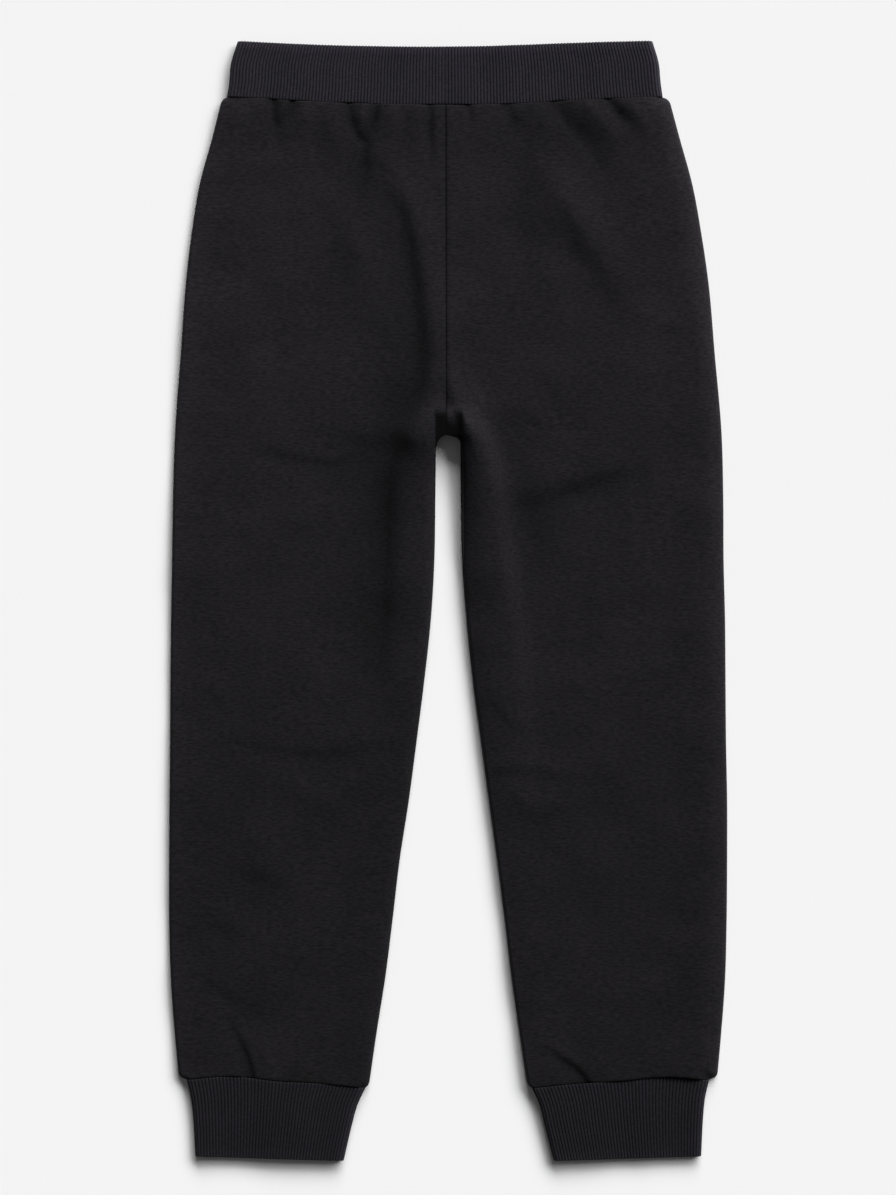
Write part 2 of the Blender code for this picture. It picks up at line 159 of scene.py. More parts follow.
CUFF_EDGES = (
    # along, from the seam (0) to the lower edge (1); left outer, left inner, right inner, right outer
    (0, -163.4, -51.5, 52.2, 163.2),
    (0.25, -160.7, -56.6, 57, 160.5),
    (0.50, -159.4, -59.7, 59.8, 159.4),
    (1, -158, -65, 65.6, 158.2),
)


def smooth_column(table, column, at):
    """A cubic curve through one column of a table, over the table's first column.

    Between two rows the curve blends both values, each carried on along its own slope.
    """
    rows = np.array(table, float)
    rows = rows[np.argsort(rows[:, 0])]
    keys = rows[:, 0]
    values = rows[:, column]
    slopes = np.gradient(values, keys)
    at = np.clip(at, keys[0], keys[-1])
    row = np.clip(np.searchsorted(keys, at) - 1, 0, len(keys) - 2)
    span = keys[row + 1] - keys[row]
    t = (at - keys[row]) / span
    from_start = (1 + 2 * t) * (1 - t) ** 2 * values[row] + t * (1 - t) ** 2 * span * slopes[row]
    from_end = t * t * (3 - 2 * t) * values[row + 1] + t * t * (t - 1) * span * slopes[row + 1]
    return from_start + from_end


print("rows of the outline:", len(BODY_OUTLINE))

# %% [markdown]
# ## Edges of the legs
#
# Each leg has an outer edge, the side seam, and an inner edge. Above the crotch the inner edge is the centre
# seam, and below it the edge swings out in a small arch before it follows the leg. Both ends of a leg are
# drawn in a little where the tighter band or cuff takes hold of the cloth.

# %% Curves of the edges
def smooth_step(value):
    """0 below 0 and 1 above 1, with a soft rise between."""
    value = np.clip(value, 0.0, 1.0)
    return value * value * (3 - 2 * value)


def bell(distance, reach, power=2):
    """1 at no distance and about a third at the reach; a higher power gives it a flat top."""
    return np.exp(-(np.abs(distance / reach) ** power))


def quarter_round(distance, reach):
    """A quarter ellipse: 0 at no distance, rising steeply at first, and 1 from the reach on."""
    share = np.clip(distance / reach, 0.0, 1.0)
    return np.sqrt(1 - (1 - share) ** 2)


def drawn_in(distance, amount):
    """How far a corner is drawn in at this distance from the seam."""
    share = np.clip(1 - distance / TUCK_LENGTH, 0.0, 1.0)
    return amount * (1 - np.sqrt(1 - share * share))


def centre_seam_x(y):
    return np.interp(y, [CROTCH_LEVEL, WAIST_LEVEL], CENTRE_SEAM_X)


def waist_seam_y(x):
    return smooth_column(WAIST_LINES, 2, x)


def hem_seam_y(side, x):
    return smooth_column(HEM_LINES, {"left": 1, "right": 2}[side], np.abs(x))


def outer_edge_x(side, level):
    column = {"left": 1, "right": 4}[side]
    tuck = drawn_in(PANEL_TOP - level, WAIST_TUCK[side]) + drawn_in(level - PANEL_BOTTOM, HEM_TUCK_OUTER)
    return smooth_column(BODY_OUTLINE, column, level) - SIDES[side] * tuck


def inner_edge_x(side, level):
    """The centre seam above the crotch, then a quarter-round arch that ends on the leg's inner edge."""
    column = {"left": 2, "right": 3}[side]
    seam = centre_seam_x(level) + SIDES[side] * SEAM_GAP / 2
    arch = quarter_round(CROTCH_LEVEL - level, ARCH_RISE[side])
    tuck = drawn_in(level - PANEL_BOTTOM, HEM_TUCK_INNER)
    foot = smooth_column(BODY_OUTLINE, column, level) + SIDES[side] * tuck
    return seam + (foot - seam) * arch


def row_y(side, level, x):
    """Rows of points follow the curved seams near waist and hem and run straight between them."""
    to_waist = 1 - smooth_step((PANEL_TOP - level) / SEAM_WAVE_REACH)
    to_hem = 1 - smooth_step((level - PANEL_BOTTOM) / SEAM_WAVE_REACH)
    return level + (waist_seam_y(x) - WAIST_LEVEL) * to_waist + (hem_seam_y(side, x) - HEM_LEVEL) * to_hem


hem_width = outer_edge_x("right", HEM_LEVEL + 1) - inner_edge_x("right", HEM_LEVEL + 1)
print("leg width at the hem in mm:", np.round(hem_width, 1))

# %% [markdown]
# ## A grid of points for each panel
#
# A panel is a surface with two parameters: the level, from waist to hem, and the share of the way across
# from the outer to the inner edge. Points lie close together where the cloth bends sharply, at edges and
# seams and round the crotch, and wider apart on the calm parts. Tables of steps keep that easy to change.

# %% Spread the points
ROW_STEPS = {
    # from level, to level, step
    "back": (
        (PANEL_TOP, 306, 0.6),
        (306, 255, 1.0),
        (255, 126, 1.9),
        (126, 84, 0.7),
        (84, -255, 2.2),
        (-255, -292, 1.1),
        (-292, PANEL_BOTTOM, 0.6),
    ),
    "front": (
        (PANEL_TOP, 306, 1.2),
        (306, 126, 4.0),
        (126, 84, 1.8),
        (84, -292, 4.5),
        (-292, PANEL_BOTTOM, 1.2),
    ),
}
COLUMN_STEPS = {
    # layer: points at the outer edge, between, at the inner edge
    "back": (18, 124, 26),
    "front": (10, 46, 14),
}
OUTER_ZONE = 12.0         # widths of the two crowded zones
INNER_ZONE = 16.0


def stations(table):
    """Levels with the table's steps, an even number of steps in each stretch."""
    parts = []
    for start, stop, step in table:
        count = 2 * int(np.ceil(abs(start - stop) / step / 2))
        parts.append(np.linspace(start, stop, count + 1)[:-1])
    return np.concatenate(parts + [[table[-1][1]]])


def crowded(reach, count):
    """Distances from 0 to the reach, spaced like the height of a turning wheel: close together first."""
    return reach * (1 - np.cos(np.linspace(0.0, np.pi / 2, count + 1)))


def panel_grid(side, layer):
    """Places x and y of a panel's points, rows down the leg and columns from the outer to the inner edge."""
    levels = stations(ROW_STEPS[layer])
    outer_count, middle_count, inner_count = COLUMN_STEPS[layer]
    outer_x = outer_edge_x(side, levels)[:, None]
    inner_x = inner_edge_x(side, levels)[:, None]
    if layer == "front":
        inner_x += FRONT_SEAM_SHIFT * smooth_step((levels - CROTCH_LEVEL) / TUCK_LENGTH)[:, None]
    width = np.abs(inner_x - outer_x)
    first = crowded(OUTER_ZONE, outer_count) / width
    last = 1 - crowded(INNER_ZONE, inner_count)[::-1] / width
    between = np.linspace(0.0, 1.0, middle_count + 1)[1:-1]
    middle = first[:, -1:] + (last[:, :1] - first[:, -1:]) * between
    across = np.concatenate([first, middle, last], axis=1)
    x = outer_x + (inner_x - outer_x) * across
    return levels, x, row_y(side, levels[:, None] + 0 * x, x)


def edge_distance(x, y, edge_x, edge_y, first_row, nearby=14):
    """Distance of each grid point to an edge line that has one point in each row from first_row on.

    Each point is measured against the short stretches of the line in its own and the nearby rows.
    """
    own = np.arange(len(x))
    best = np.full(x.shape, np.inf)
    for shift in range(-nearby, nearby + 1):
        start = np.clip(own + shift, first_row, len(x) - 2)
        ax, ay = edge_x[start, None], edge_y[start, None]
        run_x, run_y = edge_x[start + 1, None] - ax, edge_y[start + 1, None] - ay
        share = ((x - ax) * run_x + (y - ay) * run_y) / (run_x**2 + run_y**2)
        share = np.clip(share, 0.0, 1.0)
        best = np.minimum(best, np.hypot(x - ax - share * run_x, y - ay - share * run_y))
    return best


levels, x, y = panel_grid("left", "back")
print("points of a back panel:", x.shape)

# %% [markdown]
# ## Creases
#
# Cloth that is laid down by hand keeps soft folds: short gathers under the tight waistband, a long fold from
# the seat down the left thigh, and small dents at thigh, knee and shin. Each one is drawn like a brush
# stroke: a path through a few points, a width on each hand of the way, and how far the cloth rises (above 0)
# or sinks (below 0) at places evenly spaced from its head to its tail. Across the stroke the height follows
# a bell curve. Two different widths make the one-sided folds that real cloth has, steep on one side and
# gentle on the other.

# %% Draw the creases
BACK_CREASES = (
    # (x, y) points from head to tail, (width on the left hand, right hand, times wider at the tail),
    # (rises, evenly spaced from head to tail)
    # the gather left of the waist: two short troughs that meet, with soft ridges beside them
    (((-109, 311), (-108.8, 302), (-108, 292), (-108.5, 276)), (2.8, 3.2, 1.7), (-1.7, -1.6, -0.7, 0)),
    (((-97, 311), (-100, 304), (-105, 296)), (2.6, 2.6, 1), (-1.5, -1.5, -0.6)),
    (((-117, 308), (-119, 296), (-119, 278)), (5, 5, 1.6), (0.8, 0.6, 0)),
    (((-90, 309), (-90, 294), (-92, 268)), (5, 6, 1.8), (0.9, 0.8, 0)),
    (((-86, 288), (-79, 276), (-72, 262)), (7, 7, 1.3), (-0.1, -0.3, -0.1)),
    # the deepest gather: two arms that meet in a stem
    (((-62, 311), (-61.5, 302), (-59, 293), (-54.5, 286)), (3.2, 3.4, 1), (-1.6, -1.6, -0.6)),
    (((-45, 311), (-47, 300), (-52, 288)), (2.8, 2.8, 1), (-1.5, -2, -1.1)),
    (((-53, 286), (-53, 272), (-56, 258), (-61, 238)), (3.2, 3.6, 1.9), (-0.8, -1.4, -0.8, 0)),
    (((-53.5, 309), (-54, 301), (-54, 296)), (2.4, 2.4, 1), (0.9, 0.7, 0.2)),
    (((-73, 307), (-72, 292), (-68, 272)), (5, 7, 1.6), (0.9, 0.9, 0)),
    (((-36, 308), (-36, 292), (-40, 276)), (5, 6, 1.2), (1, 1, 0.3)),
    # beside the centre seam
    (((-11.5, 309), (-11.8, 292), (-11.2, 268)), (2.4, 2.6, 1.3), (-1, -1.2, -0.1)),
    (((-20.5, 306), (-21, 290), (-19, 270)), (5, 5, 1.2), (0.7, 0.7, 0)),
    (((12.4, 310), (13, 302), (12, 292)), (2.4, 2.6, 1.4), (-0.9, -0.8, 0)),
    (((24, 308), (23, 292), (22, 270)), (7, 7, 1.3), (0.6, 0.5, 0)),
    (((35, 307), (40, 298), (46, 289)), (4.5, 4.5, 1.4), (-0.7, -0.9, -0.1)),
    # gathers over the right hip and the ridge that runs on from them
    (((65, 311), (73, 300), (84, 288), (93, 276), (100, 263), (106, 249)),
     (7, 4.6, 1.5), (-1.3, -1.5, -0.9, -0.2)),
    (((55, 306), (63, 290), (73, 273)), (6, 7, 1.2), (0.7, 0.5, 0)),
    (((100, 312), (105, 304), (114, 294)), (3.2, 3.2, 1.5), (-1.5, -1.5, -0.3)),
    (((87, 310), (97, 298), (107, 284)), (5, 5, 1.3), (0.8, 0.7, 0.1)),
    (((113, 309), (121, 299), (128, 286)), (4, 4, 1.5), (0.8, 0.7, 0.1)),
    (((50, 288), (58, 271), (75, 247), (92, 221), (107, 197), (115, 183)),
     (12, 8, 1.2), (0.5, 2.1, 0.5)),
    (((62, 230), (79, 213.5), (93, 196), (102, 181)), (8, 12, 1.1), (-0.4, -0.85, -0.5)),
    (((49, 286), (46, 262), (45, 238), (48, 212), (56, 188)),
     (8, 10, 1.2), (-0.3, -0.8, -0.3)),
    # the long fold of the left side: a raised strip beside the centre seam, a trough along it that runs on
    # down the leg, and a wide shallow valley in which both lie
    (((-40, 266), (-22.5, 241), (-16.5, 216), (-12.3, 186), (-9.8, 156), (-11.3, 130),
      (-22, 104)), (10, 6.5, 1.3), (0.8, 2.2, 2.6, 2.8, 2.8)),
    (((-42, 270), (-30, 245), (-25, 218), (-21, 186), (-18, 156), (-20.5, 128),
      (-31, 106), (-36, 88), (-39.5, 67), (-40.5, 40), (-41.5, 10), (-43, -24),
      (-45, -62)), (5.2, 9, 1), (-0.5, -0.7, -0.8, -1.1, -1.1, -0.9, 0)),
    (((-34, 250), (-27, 218), (-23, 186), (-21, 156), (-24, 128), (-34, 106),
      (-42, 67), (-44, 10), (-47, -62)), (13, 18, 1), (-0.2, -0.5, -0.9, -0.9, -0.8, -0.6, 0)),
    (((-79, 241), (-71, 221), (-64, 199), (-58, 178)), (8, 9, 1.2), (-0.3, -0.9, -0.2)),
    # the ridge inside the right leg begins beside the centre seam, and a shallow valley follows its far side
    (((2, 146), (4, 132), (9.5, 118), (15, 104), (21, 84)), (12, 5, 1.1), (0.2, 4, 0)),
    (((48, 144), (62, 126), (78, 108)), (9, 11, 1), (-0.3, -0.7, -0.2)),
    (((36, 117), (48, 111.5), (62, 106)), (5, 6, 1), (-0.2, -0.5, -0.1)),
    (((36, 106), (46, 70), (53, 36), (58, 2)), (10, 9, 1), (-0.6, -0.9, -0.2)),
    # dents at thigh, knee and shin
    (((-78, 102), (-62, 97), (-46, 95), (-33, 97)), (6, 14, 1), (-0.2, -0.7, -0.6)),
    (((-116, 91.5), (-96, 87), (-80, 84), (-64, 84.5), (-48, 93)),
     (4, 9, 1), (-0.3, -0.9, -0.3)),
    (((42, 56.5), (56, 59.5), (70, 63.5), (84, 68), (100, 73.5), (118, 78.5)),
     (7, 8, 0.9), (-0.5, -1.8, -0.7)),
    (((-136, -90.5), (-112, -95), (-88, -98), (-66, -97), (-42, -91.5)),
     (4, 11, 1), (-0.3, -0.7, -0.4)),
    (((-96, -119), (-78, -124), (-62, -120)), (7, 9, 1), (0.2, 0.6, 0.2)),
    (((30, -109.5), (42, -108.5), (56, -110), (76, -113), (102, -115)),
     (4, 5, 1), (-0.6, -0.4, -0.2)),
    (((36, -122), (52, -127), (72, -126)), (7, 9, 1), (0.4, 0.8, 0.2)),
    (((28, -67), (36, -77.5), (47, -85)), (3.4, 5, 1), (-0.3, -0.5, -0.1)),
    (((-135, -169), (-120, -175.5), (-104, -181)), (7, 6, 1), (-0.3, -0.7, -0.2)),
    (((-151, -203), (-137, -210), (-124, -217)), (6, 8, 1), (-0.2, -0.5, -0.1)),
    (((-155, -237), (-140, -247), (-124, -255)), (3.8, 5, 1), (-0.3, -0.6, -0.1)),
    (((134, -220), (143, -238), (130, -262)), (7, 7, 1), (-0.2, -0.6, -0.3)),
    # puckers above the cuffs
    (((-136.5, -264), (-130, -276), (-126, -286), (-123, -297)), (2.4, 4.5, 1), (-0.2, -1.2, -1.5)),
    (((-111, -296), (-114, -284), (-121, -270)), (5, 4, 1.2), (0.5, 0.5, 0)),
    (((62, -281.5), (70, -287), (78.5, -292.5), (86, -301)), (2.6, 5, 1), (-0.3, -1.2, -1.4)),
    (((78, -289), (72, -283), (63, -277)), (4, 5, 1), (0.4, 0.3, 0)),
)
FRONT_CREASES = (
    # (x, y) points from head to tail, (width on the left hand, right hand, times wider at the tail), (lifts)
    (((-98, 311), (-96, 296), (-98, 276)), (3, 3, 1.6), (1, 0.8, 0)),
    (((-52, 310), (-49, 290), (-44, 262)), (3, 4, 1.8), (1.3, 1, 0)),
    (((-16, 309), (-15, 294), (-16, 280)), (3, 3, 1.3), (0.8, 0.7, 0)),
    (((18, 309), (19, 290), (18, 270)), (4, 3, 1.5), (1.1, 0.9, 0)),
    (((60, 310), (68, 292), (80, 270)), (3, 4, 1.6), (1.2, 0.8, 0)),
    (((104, 312), (108, 300), (114, 284)), (3, 3, 1.3), (0.9, 0.7, 0)),
    (((-30, 240), (-22, 190), (-26, 130), (-40, 70)), (8, 6, 1.5), (0.2, 0.7, 0)),
    (((28, 180), (34, 110), (46, 40)), (7, 9, 1.3), (0.2, 0.6, 0)),
    (((-118, 90), (-88, 84), (-60, 86)), (5, 6, 1), (0.2, 0.6, 0.1)),
    (((70, 78), (96, 70), (118, 60)), (5, 4, 1), (0.2, 0.5, 0.1)),
    (((-120, -100), (-90, -94), (-56, -100)), (5, 5, 1), (0.2, 0.6, 0.2)),
    (((40, -98), (66, -104), (96, -100)), (4, 5, 1), (0.2, 0.6, 0.1)),
    (((-100, -298), (-104, -286), (-110, -274)), (2.5, 3, 1.2), (1, 0.8, 0)),
    (((104, -298), (100, -288), (94, -278)), (3, 2.5, 1.2), (1, 0.8, 0)),
)
STROKE_STEPS = 30         # straight steps along each stroke
SHADE_SPREAD = 1.6        # the painted shade of a trough reaches this much wider than the trough
BELL_END = 3              # a bell is next to nothing beyond this many widths


def stroke_line(points):
    """A smooth line through the stroke's points, by their share of the way along."""
    points = np.array(points, float)
    along = np.concatenate([[0.0], np.cumsum(np.hypot(*np.diff(points, axis=0).T))])
    table = np.column_stack([along / along[-1], points])
    share = np.linspace(0.0, 1.0, STROKE_STEPS + 1)
    return share, smooth_column(table, 1, share), smooth_column(table, 2, share)


def add_stroke(total, sunk, x, y, points, widths, rises):
    """Adds one stroke's rise along its way, times a bell of the distance to its line, to the height.

    What it sinks the cloth by is also added to the second sum, with a wider bell, for the painted shade of
    folds.
    """
    share, line_x, line_y = stroke_line(points)
    left_width, right_width, spread = widths
    reach = BELL_END * SHADE_SPREAD * max(left_width, right_width) * max(spread, 1.0)
    near = (x > line_x.min() - reach) & (x < line_x.max() + reach)
    near &= (y > line_y.min() - reach) & (y < line_y.max() + reach)
    px, py = x[near], y[near]
    best = np.full(px.shape, np.inf)
    at = np.zeros(px.shape)
    hand = np.zeros(px.shape)
    for step in range(STROKE_STEPS):
        run_x, run_y = line_x[step + 1] - line_x[step], line_y[step + 1] - line_y[step]
        part = ((px - line_x[step]) * run_x + (py - line_y[step]) * run_y) / (run_x**2 + run_y**2)
        part = np.clip(part, 0.0, 1.0)
        away_x, away_y = px - line_x[step] - part * run_x, py - line_y[step] - part * run_y
        distance = np.hypot(away_x, away_y)
        sideways = (run_x * away_y - run_y * away_x) / np.hypot(run_x, run_y) / np.maximum(distance, 1e-6)
        nearer = distance < best
        best = np.where(nearer, distance, best)
        at = np.where(nearer, (step + part) / STROKE_STEPS, at)
        hand = np.where(nearer, sideways, hand)
    width = right_width + (left_width - right_width) * (1 + hand) / 2
    width = width * (1 + (spread - 1) * at)
    along = np.interp(at, np.linspace(0.0, 1.0, len(rises)), rises)
    total[near] += along * bell(best, width)
    sunk[near] += np.maximum(-along, 0.0) * bell(best, width * SHADE_SPREAD)


def all_strokes(x, y, strokes):
    """The height that all strokes add, and how far the cloth is sunk in folds."""
    total, sunk = np.zeros_like(x), np.zeros_like(x)
    for points, widths, rises in strokes:
        add_stroke(total, sunk, x, y, points, widths, rises)
    return total, sunk


print("creases on the back and on the front:", len(BACK_CREASES), len(FRONT_CREASES))

# %% [markdown]
# ## Heights of the two layers
#
# The front panels rest on the floor and the back panels lie on them. The side seams were pressed, so the
# outer edges are low. The inner edges of the legs are soft folds: near the crotch, where four seams meet,
# they stand highest, with a ridge a little way in, and further down they lie nearly flat. A ridge changes
# all the way down its leg, so a table gives its shape at several levels.

# %% Levels of the cloth, and the ridges inside the legs
FLAT_TOP = 5.6            # top of both layers where they lie close together
LOWEST_TOP = 3.0          # no fold sinks the upper layer below this
LOW_SOFTNESS = 0.35       # how softly it comes to rest there
OUTER_TOP = {"left": 4.6, "right": 6.7}     # height towards the side seams
OUTER_PUFF_REACH = 26.0
OUTER_SEAM_Z = 0.9        # height of the side seams
OUTER_ROLL = {"left": 2.4, "right": 13.0}   # width of the rounding down to the side seam
UNDER_ROLL = 4.0          # width of the rounding below
WAIST_TOP = 0.6           # how far the body stands up at the waist, and a little below it
WAIST_PUFF = 1.4
HEM_PUFF = 0.5
PUFF_AT = 9.0             # distance of these puffs from their seams
PUFF_REACH = 16.0
CUFF_SEAM_DIP = 0.5
FRONT_SEAM_DIP = 0.5      # the lower face turns in this far at its seams
MOST_LIFT = 1.4           # a crease lifts the lower face by no more than this
SEAM_ROLL = 2.0           # width of the rounding at a sewn seam
CENTRE_DIP = {"left": 0.25, "right": 0.7}   # depth of the back's centre seam, on either side of it
CENTRE_ROLL = {"left": 1.1, "right": 2.2}   # and the width of the rounding down to it
RIDGE_POWER = 3           # makes the ridges a little flatter on top than a plain bell
RIDGE_START = (138.0, 99.0)    # the ridges rise between these levels, from the seat down to the legs

RIDGE_COLUMNS = ("level", "top", "at", "fall", "seam", "roll", "reach", "shade")
INNER_RIDGES = {
    # level, height of the ridge, its distance from the edge, fall towards the edge, height of the seam, width
    # of the rounding, reach beyond the ridge, painted shade at the edge
    "left": (
        (103, 12.6, 7, 0.4, 11, 3, 18, 0),
        (94, 12, 8, 0.6, 9.6, 4, 19, 0),
        (85, 11.2, 9, 0.8, 6.6, 6, 20, 0),
        (60, 9.8, 9, 0.9, 3.4, 7, 21, 0),
        (15, 9, 9, 0.8, 2.8, 7, 21, 0),
        (-24, 8.4, 9, 0.6, 2.6, 7, 21, 0),
        (-60, 7.4, 9, 0.4, 2.4, 7, 20, 0),
        (-120, 6.6, 9, 0.2, 2.2, 7, 18, 0),
        (-290, 6.2, 9, 0.1, 2, 7, 15, 0),
    ),
    "right": (
        (103, 13.8, 8, 2, 11, 2.5, 10, 0.85),
        (92, 13.6, 11, 3.4, 9.8, 3, 10.4, 0.85),
        (80, 13, 14, 4.9, 7.4, 3.5, 10.8, 0.85),
        (63, 12.4, 17, 6.2, 5, 3.5, 10.8, 0.55),
        (40, 11.4, 18.5, 6, 3.8, 3, 11, 0.3),
        (19, 10.6, 20, 5, 3.2, 3, 11.5, 0.15),
        (-10, 9.4, 21.5, 3.8, 2.4, 2.6, 12, 0),
        (-42, 8.6, 21.5, 3.2, 2.2, 2.5, 13, 0),
        (-75, 7.8, 18, 2, 2, 2.4, 14, 0),
        (-120, 6.8, 13, 0.8, 1.8, 2.2, 15, 0),
        (-290, 6.2, 10, 0.1, 1.5, 2, 15, 0),
    ),
}


def ridge_column(side, name, level):
    return smooth_column(INNER_RIDGES[side], RIDGE_COLUMNS.index(name), level)


def inner_ridge(side, level, distance):
    """Height above the flat cloth of the soft ridge along a leg's inner edge.

    Beyond the ridge it is a bell of the distance, and towards the edge a parabola.
    """
    top, at, fall, reach = (ridge_column(side, name, level) for name in ("top", "at", "fall", "reach"))
    inward = (top - FLAT_TOP) * bell((distance - at) / reach, 1.0, RIDGE_POWER)
    edgeward = top - FLAT_TOP - fall * (1 - distance / at) ** 2
    on_leg = smooth_step((level - RIDGE_START[0]) / (RIDGE_START[1] - RIDGE_START[0]))
    return np.where(distance > at, inward, edgeward) * on_leg


ridge_tops = {side: rows[0][1] for side, rows in INNER_RIDGES.items()}
print("height of the ridges near the crotch in mm:", ridge_tops)

# %% [markdown]
# ## Small waves, gathers and seams
#
# Between its folds a garment is never quite level, and without that it would look like a board. Many long
# waves in all directions, drawn from a fixed seed, add up to a calm uneven surface. At a seam the cloth is
# held down a little, and further where the waist is gathered.

# %% Waves and gathers
WAIST_GATHERS = (
    # x, half width, how deep the seam is drawn in
    (-107.5, 6, 0.45),
    (-95, 6.5, 0.75),
    (-60, 10.5, 1),
    (-0.7, 16, 0.95),
    (68.6, 6, 0.9),
    (101.5, 5.5, 0.55),
)
WAIST_DIP = (0.1, 0.75)   # least dip of the waist seam, and how much more at a gather

WAVES = np.random.default_rng(7)
WAVE_COUNT = 26
# drawn between 18 and 126 mm, evenly by their logarithm
WAVE_LENGTHS = 10 ** WAVES.uniform(1.25, 2.1, WAVE_COUNT)
WAVE_ANGLES = WAVES.uniform(0.0, np.pi, WAVE_COUNT)
WAVE_PHASES = WAVES.uniform(0.0, 2 * np.pi, WAVE_COUNT)
WAVE_STEEPNESS = 0.008


def uneven(x, y):
    """Many small waves of different length and direction added up, all equally steep."""
    total = np.zeros_like(x)
    for length, angle, phase in zip(WAVE_LENGTHS, WAVE_ANGLES, WAVE_PHASES):
        turns = (x * np.cos(angle) + y * np.sin(angle)) / length
        total += WAVE_STEEPNESS * length / (2 * np.pi) * np.sin(2 * np.pi * turns + phase)
    return total


def gathered(x):
    """How strongly the waist seam is drawn in along its way: a flat-topped bell at each gather."""
    total = np.zeros_like(x)
    for at, width, depth in WAIST_GATHERS:
        total = np.maximum(total, depth * bell(x - at, width, 4))
    return total


def seam_dip(distance, depth, reach=SEAM_ROLL):
    """How far the cloth sinks towards a seam: a quarter round that ends at the depth."""
    return depth * (1 - quarter_round(distance, reach))


SEAT_RISE = 6.0           # the centre seam shows from the crotch up, and fades in over this height


def on_seat(y):
    """0 on the legs and 1 on the seat, with a soft rise just above the crotch."""
    return smooth_step((y - CROTCH_LEVEL) / SEAT_RISE)


def from_centre_seam(x, y):
    return np.abs(x - centre_seam_x(y))


print("steepest slope of the small waves:", round(WAVE_STEEPNESS * WAVE_COUNT, 3))

# %% [markdown]
# ## The pit above the crotch
#
# Where four seams meet, the cloth of the seat dives between the legs and leaves a small dark pit. The seam
# allowances fill the pit's upper middle like a tongue. One function says where the pit is, and both the
# height and the painted shade of the pit use it.

# %% Where the pit is
PIT_SIDES = (-8.7, 9.9)
PIT_SOFTNESS = (0.9, 2.2)      # how soft the left and the right side are
PIT_TOP = 122.0                # it starts to sink here, over the next number
PIT_FADE = 8.0
PIT_FLOOR = 11.2               # just above the seams that meet there
TONGUE_X = 1.6
TONGUE_REACH = 2.8
TONGUE_END = 106.0
TONGUE_FADE = 11.0
TONGUE_SHARE = 0.85            # how much of the pit it fills


def crotch_hollow(x, y):
    """1 in the pit above the crotch, where the cloth dives between the legs, and 0 outside it.

    It is a window between two soft sides, open at the bottom, less the tongue in its middle.
    """
    left_side = smooth_step((x - PIT_SIDES[0]) / PIT_SOFTNESS[0])
    right_side = smooth_step((PIT_SIDES[1] - x) / PIT_SOFTNESS[1])
    tongue = bell(x - TONGUE_X, TONGUE_REACH, 4) * smooth_step((y - TONGUE_END) / TONGUE_FADE)
    return left_side * right_side * smooth_step((PIT_TOP - y) / PIT_FADE) * (1 - TONGUE_SHARE * tongue)


print("width of the pit in mm:", round(PIT_SIDES[1] - PIT_SIDES[0], 1))

# %% [markdown]
# ## Painted shade and highlight
#
# Brushed cloth isn't equally black all over: folds and seams look darker and edges catch light. Here that
# is painted into the colour. Each point carries a number, its painted light: 1 on calm cloth, less where
# shade is painted in folds, seams and the pit, more where a highlight is painted at edges. The materials
# multiply their colour by it.

# %% Work out the painted shade and highlight of the upper face
PAINTED_CREASE_SHADE = 0.3             # painted shade in folds: how fast the colour darkens with each millimetre of depth
PIT_SHADE = 0.92          # share of the colour that the painted shade of the pit takes away
# how far the painted shade along a leg's inner edge reaches in
EDGE_SHADE_REACH = 3.8
SEAM_SHADE = (0.55, 0.6)  # how dark the painted shade along the centre seam is, and how wide
BESIDE_SEAM_SHADE = (0.2, 2.4)   # the same for a softer painted shade on its right, and at the waist's gathers
GATHER_SHADE = (0.25, 2.0)
EDGE_HIGHLIGHT = {
    # painted highlight along an edge: share at the rim, share a little way in
    "left": {"outer": (0.6, 0.2), "inner": (0.15, 0.0)},
    "right": {"outer": (0.75, 0.27), "inner": (0.6, 0.0)},
}
RIM_REACH = 1.6           # how far each of the two reaches in from the edge
GLOW_REACH = 13.0
INNER_HIGHLIGHT_TOP = 60.0     # the painted highlight of the inner edges fades out from this level up, over the next number
INNER_HIGHLIGHT_FADE = 40.0


def back_painted_light(x, y, side, outer_distance, inner_distance, sunk, pit):
    """The painted light: a product of one factor of painted shade or painted highlight for each fold, seam
    and edge.
    """
    # painted shade in creases, by how far they sink, and in the pit
    painted_light = np.exp(-PAINTED_CREASE_SHADE * sunk) * (1 - PIT_SHADE * pit)
    edge_shade = ridge_column(side, "shade", y) * bell(inner_distance, EDGE_SHADE_REACH, 3)
    painted_light *= 1 - edge_shade
    painted_light *= 1 - on_seat(y) * SEAM_SHADE[0] * bell(from_centre_seam(x, y), SEAM_SHADE[1])
    if side == "right":
        painted_light *= 1 - on_seat(y) * BESIDE_SEAM_SHADE[0] * bell(from_centre_seam(x, y), BESIDE_SEAM_SHADE[1])
    painted_light *= 1 - GATHER_SHADE[0] * gathered(x) * bell(waist_seam_y(x) - y, GATHER_SHADE[1])
    on_leg = 1 - smooth_step((y - INNER_HIGHLIGHT_TOP) / INNER_HIGHLIGHT_FADE)
    # painted highlight along the outer and inner edges
    for distance, edge, share in ((outer_distance, "outer", 1.0), (inner_distance, "inner", on_leg)):
        rim, glow = EDGE_HIGHLIGHT[side][edge]
        painted_light *= 1 + share * (rim * bell(distance, RIM_REACH) + glow * bell(distance, GLOW_REACH))
    return painted_light


print("light left 1 mm deep in a fold:", round(float(np.exp(-PAINTED_CREASE_SHADE)), 2))

# %% [markdown]
# ## All heights together
#
# The upper face starts level, and the creases, ridges, puffs and dips are added to it. The lower face lies on
# the floor, but for soft lifts at its creases and seams.

